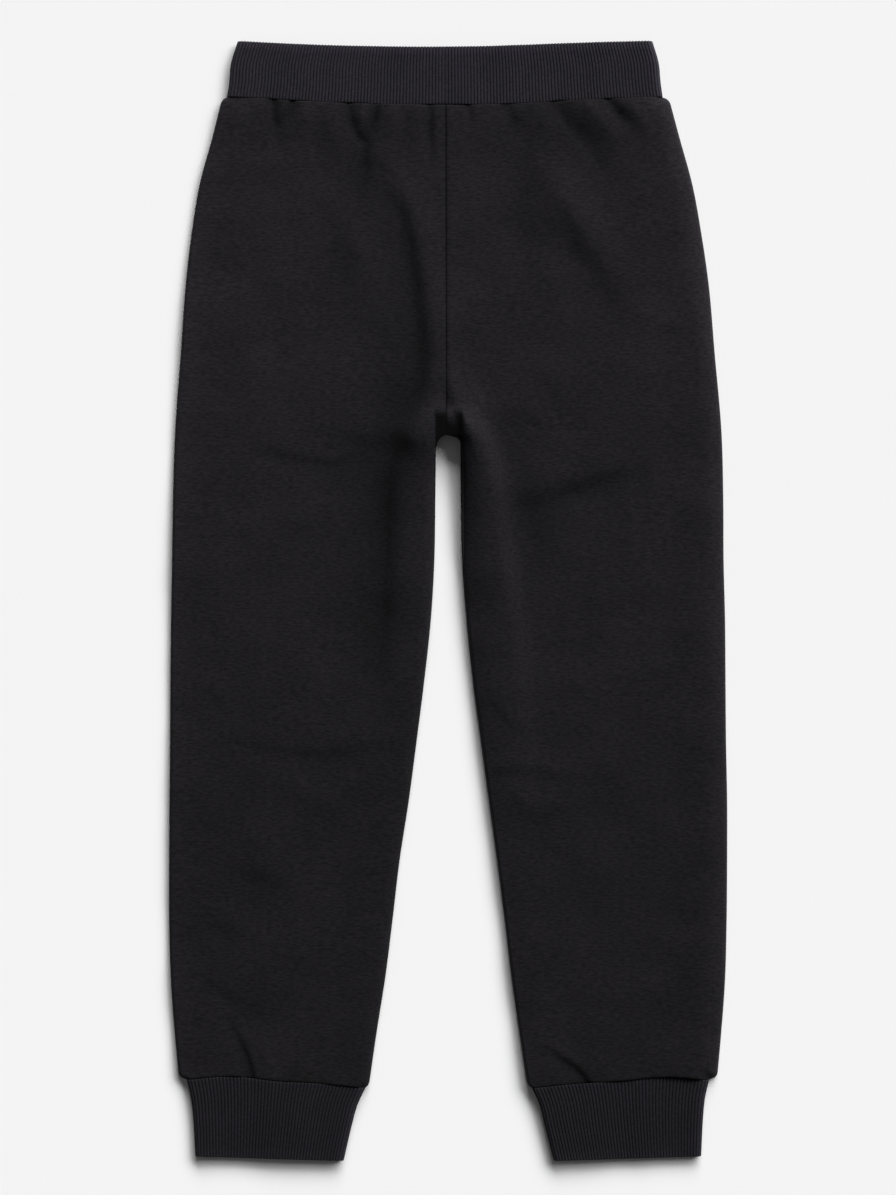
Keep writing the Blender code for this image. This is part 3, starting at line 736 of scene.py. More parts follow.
# %% Add up the heights
def back_height(x, y, side, outer_distance, inner_distance):
    """Height of the upper face before its edges are rounded, and its painted shade and highlight."""
    below_waist = np.maximum(waist_seam_y(x) - y, 0.0)
    above_hem = np.maximum(y - hem_seam_y(side, x), 0.0)
    creases, sunk = all_strokes(x, y, BACK_CREASES)
    height = FLAT_TOP + uneven(x, y) + creases
    height += (OUTER_TOP[side] - FLAT_TOP) * bell(outer_distance, OUTER_PUFF_REACH)
    height += inner_ridge(side, y, inner_distance)
    height += WAIST_TOP * bell(below_waist, PUFF_REACH)
    height += (WAIST_PUFF - WAIST_TOP) * bell(below_waist - PUFF_AT, PUFF_REACH)
    height += HEM_PUFF * bell(above_hem - PUFF_AT, PUFF_REACH)
    height -= seam_dip(below_waist, WAIST_DIP[0] + WAIST_DIP[1] * gathered(x))
    height -= seam_dip(above_hem, CUFF_SEAM_DIP)
    height -= seam_dip(from_centre_seam(x, y), CENTRE_DIP[side], CENTRE_ROLL[side]) * on_seat(y)
    height = LOWEST_TOP + LOW_SOFTNESS * np.logaddexp(0.0, (height - LOWEST_TOP) / LOW_SOFTNESS)
    pit = crotch_hollow(x, y)
    height += (PIT_FLOOR - height) * pit
    return height, back_painted_light(x, y, side, outer_distance, inner_distance, sunk, pit)


def front_height(x, y, side):
    """Height of the lower face: on the floor, but for soft lifts where the cloth is creased or sewn."""
    below_waist = np.maximum(waist_seam_y(x) - y, 0.0)
    above_hem = np.maximum(y - hem_seam_y(side, x), 0.0)
    lift = np.clip(all_strokes(x, y, FRONT_CREASES)[0], 0.0, MOST_LIFT)
    lift += seam_dip(below_waist, FRONT_SEAM_DIP) + seam_dip(above_hem, FRONT_SEAM_DIP)
    from_centre = np.abs(x - centre_seam_x(y) - FRONT_SEAM_SHIFT)
    return lift + seam_dip(from_centre, FRONT_SEAM_DIP) * on_seat(y)


print("dip of the waist seam in mm, least and most:", WAIST_DIP[0], round(sum(WAIST_DIP), 2))

# %% [markdown]
# ## From heights to a wall of cloth
#
# The upper face rolls down to the seam at its edges like a quarter ellipse. The inner face of the wall lies
# one cloth thickness behind it, against the surface normal. It is hidden, so it takes only every second
# point, and five-cornered faces round the rim join the fine face to the coarse one. Where two layers meet
# at a seam, the lower one's inner face is pressed down, so that the upper one has room.

# %% Helpers for faces and meshes
def grid_normals(points, closed=False):
    """Unit normals of a grid of points: the cross product of its two tangents."""
    if closed:
        across = np.roll(points, -1, axis=1) - np.roll(points, 1, axis=1)
    else:
        across = np.gradient(points, axis=1)
    along = np.gradient(points, axis=0)
    normals = np.cross(along, across)
    return normals / np.maximum(np.linalg.norm(normals, axis=-1, keepdims=True), 1e-12)


def grid_quads(number, closed=False):
    """Four-cornered faces between the neighbours of a grid of vertex numbers."""
    if closed:
        number = np.concatenate([number, number[:, :1]], axis=1)
    corners = [number[:-1, :-1], number[1:, :-1], number[1:, 1:], number[:-1, 1:]]
    return np.stack(corners, axis=-1).reshape(-1, 4)


def make_mesh(name, points, groups):
    """A mesh from points in millimetres and groups of faces, turned so that all faces point out.

    The volume inside is a sum over triangles of a . (b x c) / 6, and below 0 where the faces point in.
    """
    volume = 0.0
    for group in groups:
        a = points[group[:, 0]]
        for corner in range(1, group.shape[1] - 1):
            b, c = points[group[:, corner]], points[group[:, corner + 1]]
            volume += np.einsum("ij,ij->", a, np.cross(b, c)) / 6
    if volume < 0:
        groups = [group[:, ::-1] for group in groups]
    mesh = bpy.data.meshes.new(name)
    corners = np.concatenate([group.ravel() for group in groups])
    sizes = np.concatenate([np.full(len(group), group.shape[1]) for group in groups])
    mesh.vertices.add(len(points))
    mesh.vertices.foreach_set("co", (points * MM).ravel())
    mesh.loops.add(len(corners))
    mesh.loops.foreach_set("vertex_index", corners.astype(np.int32))
    mesh.polygons.add(len(sizes))
    mesh.polygons.foreach_set("loop_start", np.concatenate([[0], np.cumsum(sizes)[:-1]]).astype(np.int32))
    mesh.update(calc_edges=True)
    mesh.validate()
    mesh.shade_smooth()
    triangles = int((sizes - 2).sum())
    print(f"{name}: {triangles} triangles, {abs(volume) / 1000:.1f} cubic centimetres")
    return mesh


def add_attribute(mesh, name, values):
    """Stores one number for each point, which a material can read by its name."""
    attribute = mesh.attributes.new(name, "FLOAT", "POINT")
    attribute.data.foreach_set("value", values.astype(np.float32).ravel())


print("faces on top of a back panel:", len(grid_quads(np.arange(x.size).reshape(x.shape))))

# %% Roll the edges of a panel
def rolled_panel(side, layer):
    """The outer face of a panel and its painted shade and highlight at each point.

    A quarter round leads from the seam's level at each edge to the height of the face.
    """
    levels, x, y = panel_grid(side, layer)
    crotch_row = int(np.argmin(np.abs(levels - CROTCH_LEVEL)))
    outer_distance = edge_distance(x, y, x[:, 0], y[:, 0], 0)
    inner_distance = edge_distance(x, y, x[:, -1], y[:, -1], crotch_row)
    seam_height = ridge_column(side, "seam", y)
    if layer == "back":
        height, painted_light = back_height(x, y, side, outer_distance, inner_distance)
        outer_roll, inner_roll = OUTER_ROLL[side], ridge_column(side, "roll", y)
        half_gap = SEAM_GAP / 2
    else:
        height, painted_light = front_height(x, y, side), np.ones_like(x)
        outer_roll, inner_roll = UNDER_ROLL, np.maximum(UNDER_ROLL, seam_height)
        half_gap = -SEAM_GAP / 2
    outer_start, inner_start = OUTER_SEAM_Z + half_gap, seam_height + half_gap
    z = outer_start + (height - outer_start) * quarter_round(outer_distance, outer_roll)
    z = inner_start + (z - inner_start) * quarter_round(inner_distance, inner_roll)
    return np.stack([x, y, z], axis=-1), painted_light


print("width of the rounding at the side seams in mm:", OUTER_ROLL)

# %% Give a panel its thickness
SEAM_ROOM = 0.22          # the lower layer's inner face stays this far below a seam,
SEAM_ROOM_SHARE = 0.03    # and further by this share of the seam's height


def press_below_seams(inner, outer, side, crotch_row):
    """Lowers the lower layer's inner face at the side seam and the inner seam.

    Up to one wall's thickness from an edge it stays just below the seam, and further in the limit rises by
    as much as the distance.
    """
    x, y = inner[..., 0], inner[..., 1]
    for column, first_row, seam_z in ((0, 0, OUTER_SEAM_Z), (-1, crotch_row, ridge_column(side, "seam", y))):
        away = edge_distance(x, y, outer[:, column, 0], outer[:, column, 1], first_row)
        limit = (1 - SEAM_ROOM_SHARE) * seam_z - SEAM_ROOM + np.maximum(away - FLEECE_WALL, 0.0)
        inner[..., 2] = np.minimum(inner[..., 2], limit)


def wall_of(outer, seam_rows, lower_side=None):
    """Faces of a closed wall: a fine outer grid, a coarse inner grid, and five-cornered faces between.

    Along the waist, the hem and the centre seam the wall's end stays square to the seam. lower_side is given
    for a panel of the lower layer, whose inner face is pressed down at its seams.
    """
    normals = grid_normals(outer)
    # the outer face looks up where it lies above the cloth's middle, and down below it
    if normals[..., 2].mean() * (outer[..., 2].mean() - CLOTH_LEVEL) < 0:
        normals = -normals
    normals[[0, -1], :, 1] = 0.0
    normals[:seam_rows, -1, 0] = 0.0
    normals /= np.linalg.norm(normals, axis=-1, keepdims=True)
    inner = outer - FLEECE_WALL * normals
    if lower_side is not None:
        press_below_seams(inner, outer, lower_side, seam_rows - 1)
    inner = inner[::2, ::2]
    fine = np.arange(outer.shape[0] * outer.shape[1]).reshape(outer.shape[:2])
    coarse = np.arange(inner.shape[0] * inner.shape[1]).reshape(inner.shape[:2]) + fine.size
    rims = []
    for a, b in (
        (fine[0], coarse[0]),
        (fine[:, -1], coarse[:, -1]),
        (fine[-1, ::-1], coarse[-1, ::-1]),
        (fine[::-1, 0], coarse[::-1, 0]),
    ):
        rims.append(np.stack([a[:-2:2], a[1:-1:2], a[2::2], b[1:], b[:-1]], axis=-1))
    points = np.concatenate([outer.reshape(-1, 3), inner.reshape(-1, 3)])
    return points, [grid_quads(fine), grid_quads(coarse)[:, ::-1], np.concatenate(rims)]


print("room below the side seams in mm:", round(SEAM_ROOM + SEAM_ROOM_SHARE * OUTER_SEAM_Z, 2))

# %% [markdown]
# ## Flattened tubes with ribs
#
# The waistband and the cuffs are tubes of rib, pressed flat. Rib is knitted as ridges with deep valleys
# between them, about two millimetres apart, and they show as shape and not only as shade, so they are real
# geometry here. The tube's section is two straight faces with a half round at each end. A loop of rows
# carries it from the seam along the outside, round the folded edge and back along the inside.

# %% Make a ribbed tube
TUBE_ROLL = 3.4           # radius of the rounded ends
BAND_TOP = 6.4            # height of the waistband and of the cuffs above the floor
CUFF_TOP = 5.8
RIB_DEPTH = 0.45
RIB_SHARPNESS = 0.6       # below 1 the valleys are narrower than the ridges
POINTS_PER_RIB = 8
BAND_RIBS = 272           # all round
CUFF_RIBS = 104
# rows of points, by the share of the way from the seam to the folded edge: outside, round the fold, inside
OUTSIDE_ROWS = (0.0, 0.012, 0.03, 0.055, 0.09, 0.16, 0.26, 0.38, 0.50, 0.62, 0.74, 0.86, 1.0)
FOLD_ROWS = 7
INSIDE_ROWS = (1.0, 0.7, 0.35, 0.06, 0.0)
END_HIGHLIGHT = {"west": 0.45, "east": 0.9}   # painted highlight at the tube's two ends
END_HIGHLIGHT_REACH = {"west": 3.0, "east": 4.0}
EDGE_ROW_HIGHLIGHT = 0.4       # and along its folded edge
EDGE_ROW_REACH = 1.4


def tube_section(left, right, share):
    """Place x and relative height (0 below, 1 on top) on a flattened tube, by the share of its girth.

    The way starts at the left end, goes over the top to the right end and back along the underside. The
    turn is the angle of the surface's direction from straight up.
    """
    flat = right - left - 2 * TUBE_ROLL
    quarter = TUBE_ROLL * np.pi / 2
    way = share * (2 * flat + 4 * quarter)
    along = np.clip(way - quarter, 0.0, flat) - np.clip(way - 3 * quarter - flat, 0.0, flat)
    turn = -np.pi / 2 + np.pi / 2 * np.clip(way / quarter, 0.0, 1.0)
    turn = turn + np.pi * np.clip((way - quarter - flat) / (2 * quarter), 0.0, 1.0)
    turn = turn + np.pi / 2 * np.clip((way - 3 * quarter - 2 * flat) / quarter, 0.0, 1.0)
    return left + TUBE_ROLL + along + TUBE_ROLL * np.sin(turn), (1 + np.cos(turn)) / 2


def ribs(phase, depth):
    """Rounded ridges with narrow valleys: a power of the sine, 0 on the ridges and -depth in the valleys."""
    return depth * (np.abs(np.sin(np.pi * phase)) ** RIB_SHARPNESS - 1)


def ribbed_tube(ends, y_of, top_of, wall, count, fade=None):
    """Points of a closed ribbed tube as a loop of rows, with the rib number and the painted highlight of each
    point.

    ends gives the left and right end by the share of the way from the seam to the folded edge, y_of the
    place y by x and that share, top_of the height of the upper face, fade how much of a rib stays.
    """
    fold = np.linspace(0.0, np.pi, FOLD_ROWS + 2)[1:-1]
    share = np.concatenate([OUTSIDE_ROWS, np.ones(FOLD_ROWS), INSIDE_ROWS])
    angle = np.concatenate([np.zeros(len(OUTSIDE_ROWS)), fold, np.full(len(INSIDE_ROWS), np.pi)])
    left, right = ends(share)
    column = np.arange(count * POINTS_PER_RIB) / (count * POINTS_PER_RIB)
    x, upper = tube_section(left[:, None], right[:, None], column[None, :])
    share = share[:, None] + 0 * x
    y = y_of(x, share, wall / 2)
    base = np.stack([x, y, top_of(x, share) * upper], axis=-1)
    outside = len(OUTSIDE_ROWS)
    normals = grid_normals(base[:outside], closed=True)
    # a quarter of the way round is the middle of the top, which faces up
    if normals[outside // 2, column.size // 4, 2] < 0:
        normals = -normals
    # rows round the fold and inside take the normals of the outside rows that they lie against
    at = np.concatenate([
        np.arange(outside),
        np.full(FOLD_ROWS, outside - 1),
        np.round(np.interp(INSIDE_ROWS, OUTSIDE_ROWS, np.arange(outside))).astype(int),
    ])
    normals = normals[at]
    length = y_of(x, 1.0, 0.0) - y_of(x, 0.0, 0.0)
    phase = column * count
    strength = np.ones_like(x) if fade is None else fade(x, upper)
    swell = (wall / 2 + ribs(phase, RIB_DEPTH) * strength)[..., None]
    edgewise = np.zeros_like(base)
    edgewise[..., 1] = np.sign(length)
    direction = np.cos(angle)[:, None, None] * normals + np.sin(angle)[:, None, None] * edgewise
    points = base - wall / 2 * normals + swell * direction
    # painted highlight at the two ends and along the folded edge
    painted_light = 1 + END_HIGHLIGHT["west"] * bell(x - left[:, None], END_HIGHLIGHT_REACH["west"])
    painted_light += END_HIGHLIGHT["east"] * bell(right[:, None] - x, END_HIGHLIGHT_REACH["east"])
    painted_light += EDGE_ROW_HIGHLIGHT * bell((1 - share) * length, EDGE_ROW_REACH)
    return points, phase[None, :] + 0 * x, painted_light


def tube_mesh(name, points):
    number = np.arange(points.shape[0] * points.shape[1]).reshape(points.shape[:2])
    closed_rows = np.concatenate([number, number[:1]])
    return make_mesh(name, points.reshape(-1, 3), [grid_quads(closed_rows, closed=True)])


print("ribs all round the waistband and a cuff:", BAND_RIBS, CUFF_RIBS)

# %% [markdown]
# ## Materials
#
# Both cloths are black, but black cotton is never without light: its fuzz catches a pale rim wherever the
# surface turns away from the eye, which is what the sheen of the shader is for. The smooth face of the
# fleece shows a faint marl, fine streaks along the knitted rows. Each colour is also multiplied by the
# painted light of each point, which paints shade into folds, seams and the pit and a highlight along edges.
# Both cloths are paler towards the waist and have broad faded patches. The number of patches or streaks in a
# metre is a noise's scale.

# %% Helpers for materials
def linear(hex_colour):
    """A sRGB hex colour as the linear values that a shader takes."""
    values = np.array([int(hex_colour[i:i + 2], 16) for i in (1, 3, 5)]) / 255
    values = np.where(values <= 0.04045, values / 12.92, ((values + 0.055) / 1.055) ** 2.4)
    return (*values, 1.0)


def add_node(tree, kind, settings=(), links=()):
    """A node with its settings (a property by its name, an input by its number or name) and its links."""
    node = tree.nodes.new(kind)
    for name, value in dict(settings).items():
        if isinstance(name, str) and hasattr(node, name):
            setattr(node, name, value)
        else:
            node.inputs[name].default_value = value
    for name, source in dict(links).items():
        tree.links.new(source, node.inputs[name])
    return node


def new_material(name):
    material = bpy.data.materials.new(name)
    material.use_nodes = True
    material.node_tree.nodes.clear()
    return material, material.node_tree


def finish_material(tree, colour, bump, roughness, settings):
    shader = add_node(tree, "ShaderNodeBsdfPrincipled", settings, {"Base Color": colour})
    tree.links.new(roughness, shader.inputs["Roughness"])
    if bump is not None:
        tree.links.new(bump, shader.inputs["Normal"])
    add_node(tree, "ShaderNodeOutputMaterial", (), {"Surface": shader.outputs[0]})


def cloth_inputs(tree):
    """What both cloths read: the place on the garment, its part along Y, and the painted shade and highlight.
    """
    place = add_node(tree, "ShaderNodeTexCoord").outputs["Object"]
    along = add_node(tree, "ShaderNodeSeparateXYZ", (), {0: place}).outputs[1]
    # painted shade and highlight, which each colour is multiplied by
    painted_light = add_node(tree, "ShaderNodeAttribute", {"attribute_name": "painted_light"}).outputs["Fac"]
    return place, along, painted_light


def toned(tree, colour, tones):
    """The colour times the product of all tones."""
    product = tones[0]
    for tone in tones[1:]:
        times = add_node(tree, "ShaderNodeMath", {"operation": "MULTIPLY"}, {0: product, 1: tone})
        product = times.outputs[0]
    scaled = add_node(tree, "ShaderNodeVectorMath", {"operation": "SCALE"}, {0: colour, "Scale": product})
    return scaled.outputs[0]


print("middle grey as a linear value:", round(float(linear("#808080")[0]), 3))

# %% [markdown]
# ## The fleece
#
# Sweatshirt fleece is knitted from yarn whose fibres take the dye a little differently. That shows as a
# marl: short faint streaks along the knitted rows, which run across the leg. An image of cloth would need an
# unwrapped mesh, so here it is noise in the object's own coordinates, stretched along X.

# %% Black brushed fleece
FLEECE_DARK = "#100f11"
FLEECE_WARM = "#201e20"
FLEECE_COOL = "#1f1d21"
CLOTH_SHADER = {
    "Metallic": 0.0,
    "IOR": 1.45,
    "Specular IOR Level": 0.08,
    "Sheen Weight": 0.035,
    "Sheen Roughness": 0.45,
}


# A Map Range node reads from input 1 to input 2 and gives from input 3 to input 4.
NOISE_SPREAD = {1: 0.3, 2: 0.7, 3: 0.0, 4: 1.0}    # spreads the middle of a noise over the whole range
DYE_SPREAD = {1: 0.35, 2: 0.65, 3: 0.0, 4: 1.0}
FLEECE_FADING = {1: 0.3, 2: 0.7, 3: 0.88, 4: 1.12}
FLEECE_TONE_BY_Y = {"interpolation_type": "SMOOTHSTEP", 1: -0.2, 2: 0.25, 3: 0.83, 4: 1.155}   # by Y in metres: paler towards the waist, darker towards the hems
# The streaks are 3.3 mm long and 1.1 mm high. A knitted row is 0.8 mm, but so fine they wouldn't show.
STREAKS = (300.0, 900.0, 900.0)
FLEECE_PATCHES = 26.0
DYE_PATCHES = 14.0


def black_fleece():
    """Dyed cotton fleece, knitted fine and brushed on its back: matt, with a faint marl along the rows."""
    material, tree = new_material("black_brushed_fleece")
    place, along, painted_light = cloth_inputs(tree)
    streaks = add_node(tree, "ShaderNodeMapping", {"Scale": STREAKS}, {"Vector": place})
    marl = add_node(tree, "ShaderNodeTexNoise", {"Scale": 1.0, "Detail": 3.0, "Roughness": 0.6},
                    {"Vector": streaks.outputs[0]})
    broad = add_node(tree, "ShaderNodeTexNoise", {"Scale": FLEECE_PATCHES, "Detail": 3.0}, {"Vector": place})
    dye = add_node(tree, "ShaderNodeTexNoise", {"Scale": DYE_PATCHES, "Detail": 2.0}, {"Vector": place})
    spread = add_node(tree, "ShaderNodeMapRange", NOISE_SPREAD, {0: marl.outputs[0]})
    dye = add_node(tree, "ShaderNodeMapRange", DYE_SPREAD, {0: dye.outputs[0]})
    light = add_node(tree, "ShaderNodeMix",
                     {"data_type": "RGBA", 6: linear(FLEECE_WARM), 7: linear(FLEECE_COOL)},
                     {0: dye.outputs[0]})
    colour = add_node(tree, "ShaderNodeMix", {"data_type": "RGBA", 6: linear(FLEECE_DARK)},
                      {0: spread.outputs[0], 7: light.outputs[2]})
    faded = add_node(tree, "ShaderNodeMapRange", FLEECE_FADING, {0: broad.outputs[0]})
    # paler towards the waist, darker towards the hems
    tone_by_y = add_node(tree, "ShaderNodeMapRange", FLEECE_TONE_BY_Y, {0: along})
    # the colour times random patches, the paleness towards the waist, and the painted shade and highlight
    colour = toned(tree, colour.outputs[2], (faded.outputs[0], tone_by_y.outputs[0], painted_light))
    bump = add_node(tree, "ShaderNodeBump", {"Strength": 0.5, "Distance": 0.2 * MM},
                    {"Height": marl.outputs[0]})
    rough = add_node(tree, "ShaderNodeMapRange", {3: 0.86, 4: 0.96}, {0: broad.outputs[0]})
    finish_material(tree, colour, bump.outputs[0], rough.outputs[0], CLOTH_SHADER)
    return material


MATERIALS = {"fleece": black_fleece()}
print("fleece nodes:", len(MATERIALS["fleece"].node_tree.nodes))

# %% [markdown]
# ## The rib
#
# Rib gathers its stitches in ridges, and the eye sees dark valleys between them. The ridges are there as
# shape, but the fibres that keep the light from the valleys are not, so the material darkens the valleys too.
# It finds them by the rib number that each point carries, which is whole in the valleys.

# %% Black rib
RIB_DARK = "#1a191e"
RIB_LIGHT = "#242227"
RIB_VALLEY = {1: 0.0, 2: 0.85, 3: 0.2, 4: 1.0}     # the valleys are dark, because little light comes out
RIB_FADING = {1: 0.3, 2: 0.7, 3: 0.94, 4: 1.06}
RIB_TONE_BY_Y = {1: -0.32, 2: 0.32, 3: 0.745, 4: 1.385}    # by Y in metres: the waistband is paler than the cuffs
RIB_STITCHES = 700.0      # grains 1.4 mm wide
RIB_PATCHES = 60.0


def black_rib():
    """Dyed cotton rib with elastane, knitted tight: ridges of small stitches with dark valleys between."""
    material, tree = new_material("black_cotton_rib")
    place, along, painted_light = cloth_inputs(tree)
    way = add_node(tree, "ShaderNodeAttribute", {"attribute_name": "rib_number"}).outputs["Fac"]
    turn = add_node(tree, "ShaderNodeMath", {"operation": "MULTIPLY", 1: np.pi}, {0: way})
    ridge = add_node(tree, "ShaderNodeMath", {"operation": "SINE"}, {0: turn.outputs[0]})
    ridge = add_node(tree, "ShaderNodeMath", {"operation": "ABSOLUTE"}, {0: ridge.outputs[0]})
    grain = add_node(tree, "ShaderNodeTexNoise", {"Scale": RIB_STITCHES, "Detail": 3.0}, {"Vector": place})
    broad = add_node(tree, "ShaderNodeTexNoise", {"Scale": RIB_PATCHES, "Detail": 2.0}, {"Vector": place})
    spread = add_node(tree, "ShaderNodeMapRange", NOISE_SPREAD, {0: grain.outputs[0]})
    colour = add_node(tree, "ShaderNodeMix", {"data_type": "RGBA", 6: linear(RIB_DARK), 7: linear(RIB_LIGHT)},
                      {0: spread.outputs[0]})
    open_rib = add_node(tree, "ShaderNodeMapRange", RIB_VALLEY, {0: ridge.outputs[0]})
    faded = add_node(tree, "ShaderNodeMapRange", RIB_FADING, {0: broad.outputs[0]})
    # paler towards the waist, darker towards the cuffs
    tone_by_y = add_node(tree, "ShaderNodeMapRange", RIB_TONE_BY_Y, {0: along})
    # the valleys' painted shade, random patches, the paleness towards the waist, and the painted shade and
    # highlight
    tones = (open_rib.outputs[0], faded.outputs[0], tone_by_y.outputs[0], painted_light)
    colour = toned(tree, colour.outputs[2], tones)
    bump = add_node(tree, "ShaderNodeBump", {"Strength": 0.4, "Distance": 0.2 * MM},
                    {"Height": grain.outputs[0]})
    rough = add_node(tree, "ShaderNodeMapRange", {3: 0.85, 4: 0.95}, {0: grain.outputs[0]})
    finish_material(tree, colour, bump.outputs[0], rough.outputs[0], CLOTH_SHADER)
    return material


MATERIALS["rib"] = black_rib()
print("rib nodes:", len(MATERIALS["rib"].node_tree.nodes))

# %% [markdown]
# ## The seven pieces
#
# Now the grids become objects. Each one rides on the garment's only body and stands for its plain solid.

# %% Add a piece of cloth
def add_cloth(mesh, node, slot):
    """An object that stands for a node, with its material, riding on the garment's body, while the node's
    solid is hidden.
    """
    mesh.materials.append(MATERIALS[slot])
    piece = bpy.data.objects.new(f"{node}_{slot}", mesh)
    bpy.context.scene.collection.objects.link(piece)
    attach(piece, "root")
    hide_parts(node)


def add_rib(node, ends, y_of, top_of, wall, count, fade=None):
    """A ribbed tube that stands for a node, with its rib numbers and its painted highlight."""
    points, rib_number, painted_light = ribbed_tube(ends, y_of, top_of, wall, count, fade)
    mesh = tube_mesh(f"{node}_rib", points)
    add_attribute(mesh, "rib_number", rib_number)
    # painted highlight at the tube's ends and along its folded edge
    add_attribute(mesh, "painted_light", painted_light)
    add_cloth(mesh, node, "rib")


print("finishes ready:", ", ".join(MATERIALS))

# %% [markdown]
# ## The four panels
#
# A leg is cut as two panels, and seams join them at its side and its inside. Laid flat, the front panel rests
# on the floor and the back panel lies on it. The same functions make both, with a coarser grid for the front,
# because it is hidden.

for side in SIDES:
    for layer in ("front", "back"):
        outer, painted_light = rolled_panel(side, layer)
        seam_rows = int(np.sum(stations(ROW_STEPS[layer]) >= CROTCH_LEVEL))
        points, faces = wall_of(outer, seam_rows, side if layer == "front" else None)
        node = f"{layer}_{side}"
        mesh = make_mesh(f"{node}_fleece", points, faces)
        # painted shade and highlight of the outer face; the inner face gets 1
        add_attribute(mesh, "painted_light", np.concatenate([painted_light.ravel(), np.ones(len(points) - painted_light.size)]))
        add_cloth(mesh, node, "fleece")

# %% [markdown]
# ## The waistband
#
# The band is a strip of rib, folded over an elastic and joined to a ring by a short seam near the middle of
# the back. One ribbed tube makes the ring. At the join a flat-topped bell of X lowers the tube a little and
# presses its ribs flatter, which is simpler than a seam of its own.

# %% Knit the waistband
JOIN_X = -2.8             # the band's ends are joined here by a narrow seam
JOIN_HALF = 2.4
JOIN_DIP = 0.3
JOIN_FLATTENING = 0.5     # share by which its ribs are pressed flat
BAND_GATHER = 0.6         # the band is drawn down at a gather by this share of what the body is
RIB_UNEVENNESS = 1.5      # rib lies less evenly than fleece, by this factor
WAVE_RUN = 3              # a rib piece lies over this much of the waves, from its seam to its edge


def band_ends(share):
    return smooth_column(BAND_ENDS, 1, share), smooth_column(BAND_ENDS, 2, share)


def band_y(x, share, rim):
    seam = waist_seam_y(x) + SEAM_GAP / 2
    edge = smooth_column(WAIST_LINES, 1, x) - rim
    return seam + (edge - seam) * share


def band_top(x, share):
    """The band's height: level, but drawn down at the seam where the body is gathered."""
    from_seam = share * (WAIST_LINES[0][1] - WAIST_LINES[0][2])
    dip = seam_dip(from_seam, WAIST_DIP[0] + BAND_GATHER * WAIST_DIP[1] * gathered(x))
    join = JOIN_DIP * bell(x - JOIN_X, JOIN_HALF, 4)
    return BAND_TOP + RIB_UNEVENNESS * uneven(x, WAVE_RUN * share) - dip - join


def band_fade(x, upper):
    """How much of a rib stays: less along the join, on the upper face only."""
    return 1 - JOIN_FLATTENING * bell(x - JOIN_X, JOIN_HALF, 4) * (upper > 0.5)


add_rib("waistband", band_ends, band_y, band_top, BAND_WALL, BAND_RIBS, band_fade)

# %% [markdown]
# ## The cuffs
#
# A cuff is a shorter tube of the same rib, so the same function makes it. It narrows towards the foot, and
# its folded edge slants a little, so its ends and its edge have curves of their own.

# %% Knit the cuffs
CUFF_COLUMNS = {"left": (1, 2), "right": (3, 4)}    # of the table of edges: the two ends of each cuff
CUFF_DIP_SHARE = 0.5      # a cuff dips at its seam by this share of what the leg does
CUFF_WAVES = 200.0        # the cuffs lie at another place of the waves than the band


def cuff_ends(side, share):
    west, east = CUFF_COLUMNS[side]
    return smooth_column(CUFF_EDGES, west, share), smooth_column(CUFF_EDGES, east, share)


def cuff_y(side, x, share, rim):
    seam = hem_seam_y(side, x) - SEAM_GAP / 2
    from_outer = (CUFF_OUTER_X - np.abs(x)) / (CUFF_OUTER_X - CUFF_INNER_X)
    edge = CUFF_BOTTOM_OUTER_Y + (CUFF_BOTTOM_INNER_Y - CUFF_BOTTOM_OUTER_Y) * from_outer + rim
    return seam + (edge - seam) * share


def cuff_top(x, share):
    """The cuff's height: level, but drawn down at the seam."""
    from_seam = share * (HEM_LEVEL - CUFF_BOTTOM_OUTER_Y)
    dip = seam_dip(from_seam, CUFF_DIP_SHARE * CUFF_SEAM_DIP)
    return CUFF_TOP + RIB_UNEVENNESS * uneven(x, CUFF_WAVES + WAVE_RUN * share) - dip


for side in SIDES:
    ends, y_of = partial(cuff_ends, side), partial(cuff_y, side)
    add_rib(f"cuff_{side}", ends, y_of, cuff_top, CUFF_WALL, CUFF_RIBS)

# %% [markdown]
# ## Floor and light
#
# A pale matt floor reaches past the picture on all sides. A long low window of light stands at the upper
# right, so that folds show and a soft shadow falls to the lower left. Three wide sun lamps side by side
# make that window, because suns light the whole floor evenly. A faint even light fills the shadows.

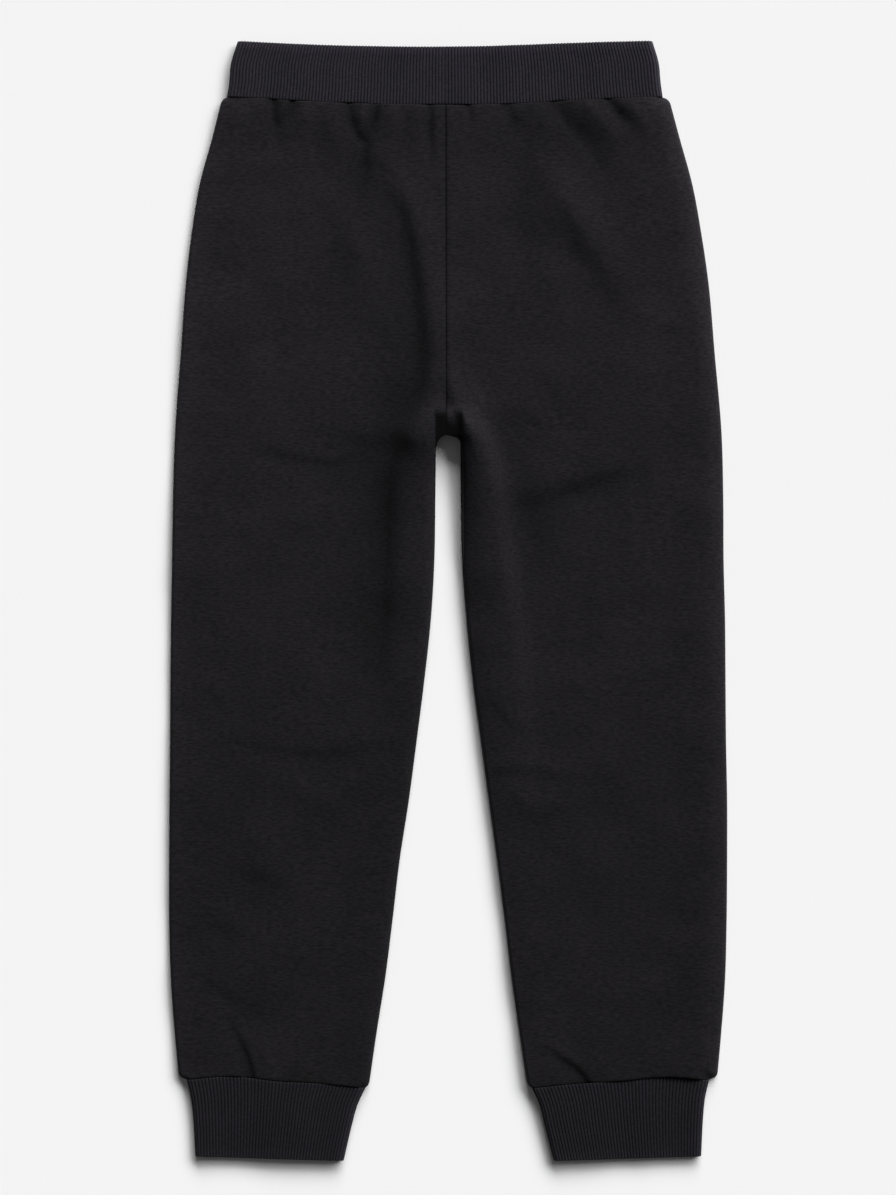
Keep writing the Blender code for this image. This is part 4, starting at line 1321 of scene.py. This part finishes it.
# %% Lay the floor and light it
FLOOR_SIZE = 60.0         # in metres
FLOOR_DROP = 0.1          # the floor lies this far below the cloth, so that the two faces don't coincide
FLOOR_LIGHT = 3.52        # light that falls on the floor, for its white in the picture
FILL_SHARE = 0.08
WINDOW_LAMPS = (
    # direction from +X towards +Y, elevation, width of the lamp's disc, all in degrees, share of the light
    (35.0, 33.0, 28.0, 0.34),
    (60.0, 28.0, 26.0, 0.34),
    (85.0, 25.0, 26.0, 0.32),
)

floor_mesh = bpy.data.meshes.new("floor")
half = FLOOR_SIZE / 2
corners = [(-half, -half, 0), (half, -half, 0), (half, half, 0), (-half, half, 0)]
floor_mesh.from_pydata(corners, [], [(0, 1, 2, 3)])
floor_mesh.update()
floor = bpy.data.objects.new("floor", floor_mesh)
bpy.context.scene.collection.objects.link(floor)
floor.location.z = -FLOOR_DROP * MM

material, tree = new_material("pale_matt_board")
place = add_node(tree, "ShaderNodeTexCoord").outputs["Object"]
cloud = add_node(tree, "ShaderNodeTexNoise", {"Scale": 3.0, "Detail": 2.0}, {"Vector": place})
colour = add_node(tree, "ShaderNodeMix", {"data_type": "RGBA", 6: linear("#e7e7e7"), 7: linear("#e9e9e9")},
                  {0: cloud.outputs[0]})
rough = add_node(tree, "ShaderNodeMapRange", {3: 0.9, 4: 1.0}, {0: cloud.outputs[0]})
finish_material(tree, colour.outputs[2], None, rough.outputs[0], {"Specular IOR Level": 0.0})
floor_mesh.materials.append(material)

for direction, elevation, width, share in WINDOW_LAMPS:
    name = f"window_lamp_{direction:.0f}"
    lamp_data = bpy.data.lights.new(name, "SUN")
    lamp_data.energy = FLOOR_LIGHT * (1 - FILL_SHARE) * share / np.sin(np.radians(elevation))
    lamp_data.angle = np.radians(width)
    lamp = bpy.data.objects.new(name, lamp_data)
    lamp.rotation_euler = (0.0, np.radians(90 - elevation), np.radians(direction))
    bpy.context.scene.collection.objects.link(lamp)

world = bpy.data.worlds.new("studio")
world.use_nodes = True
background = world.node_tree.nodes["Background"]
background.inputs["Color"].default_value = (1.0, 1.0, 1.0, 1.0)
background.inputs["Strength"].default_value = FLOOR_LIGHT * FILL_SHARE / np.pi
bpy.context.scene.world = world
bpy.context.scene.view_settings.view_transform = "Standard"
print("lamps:", len(WINDOW_LAMPS))
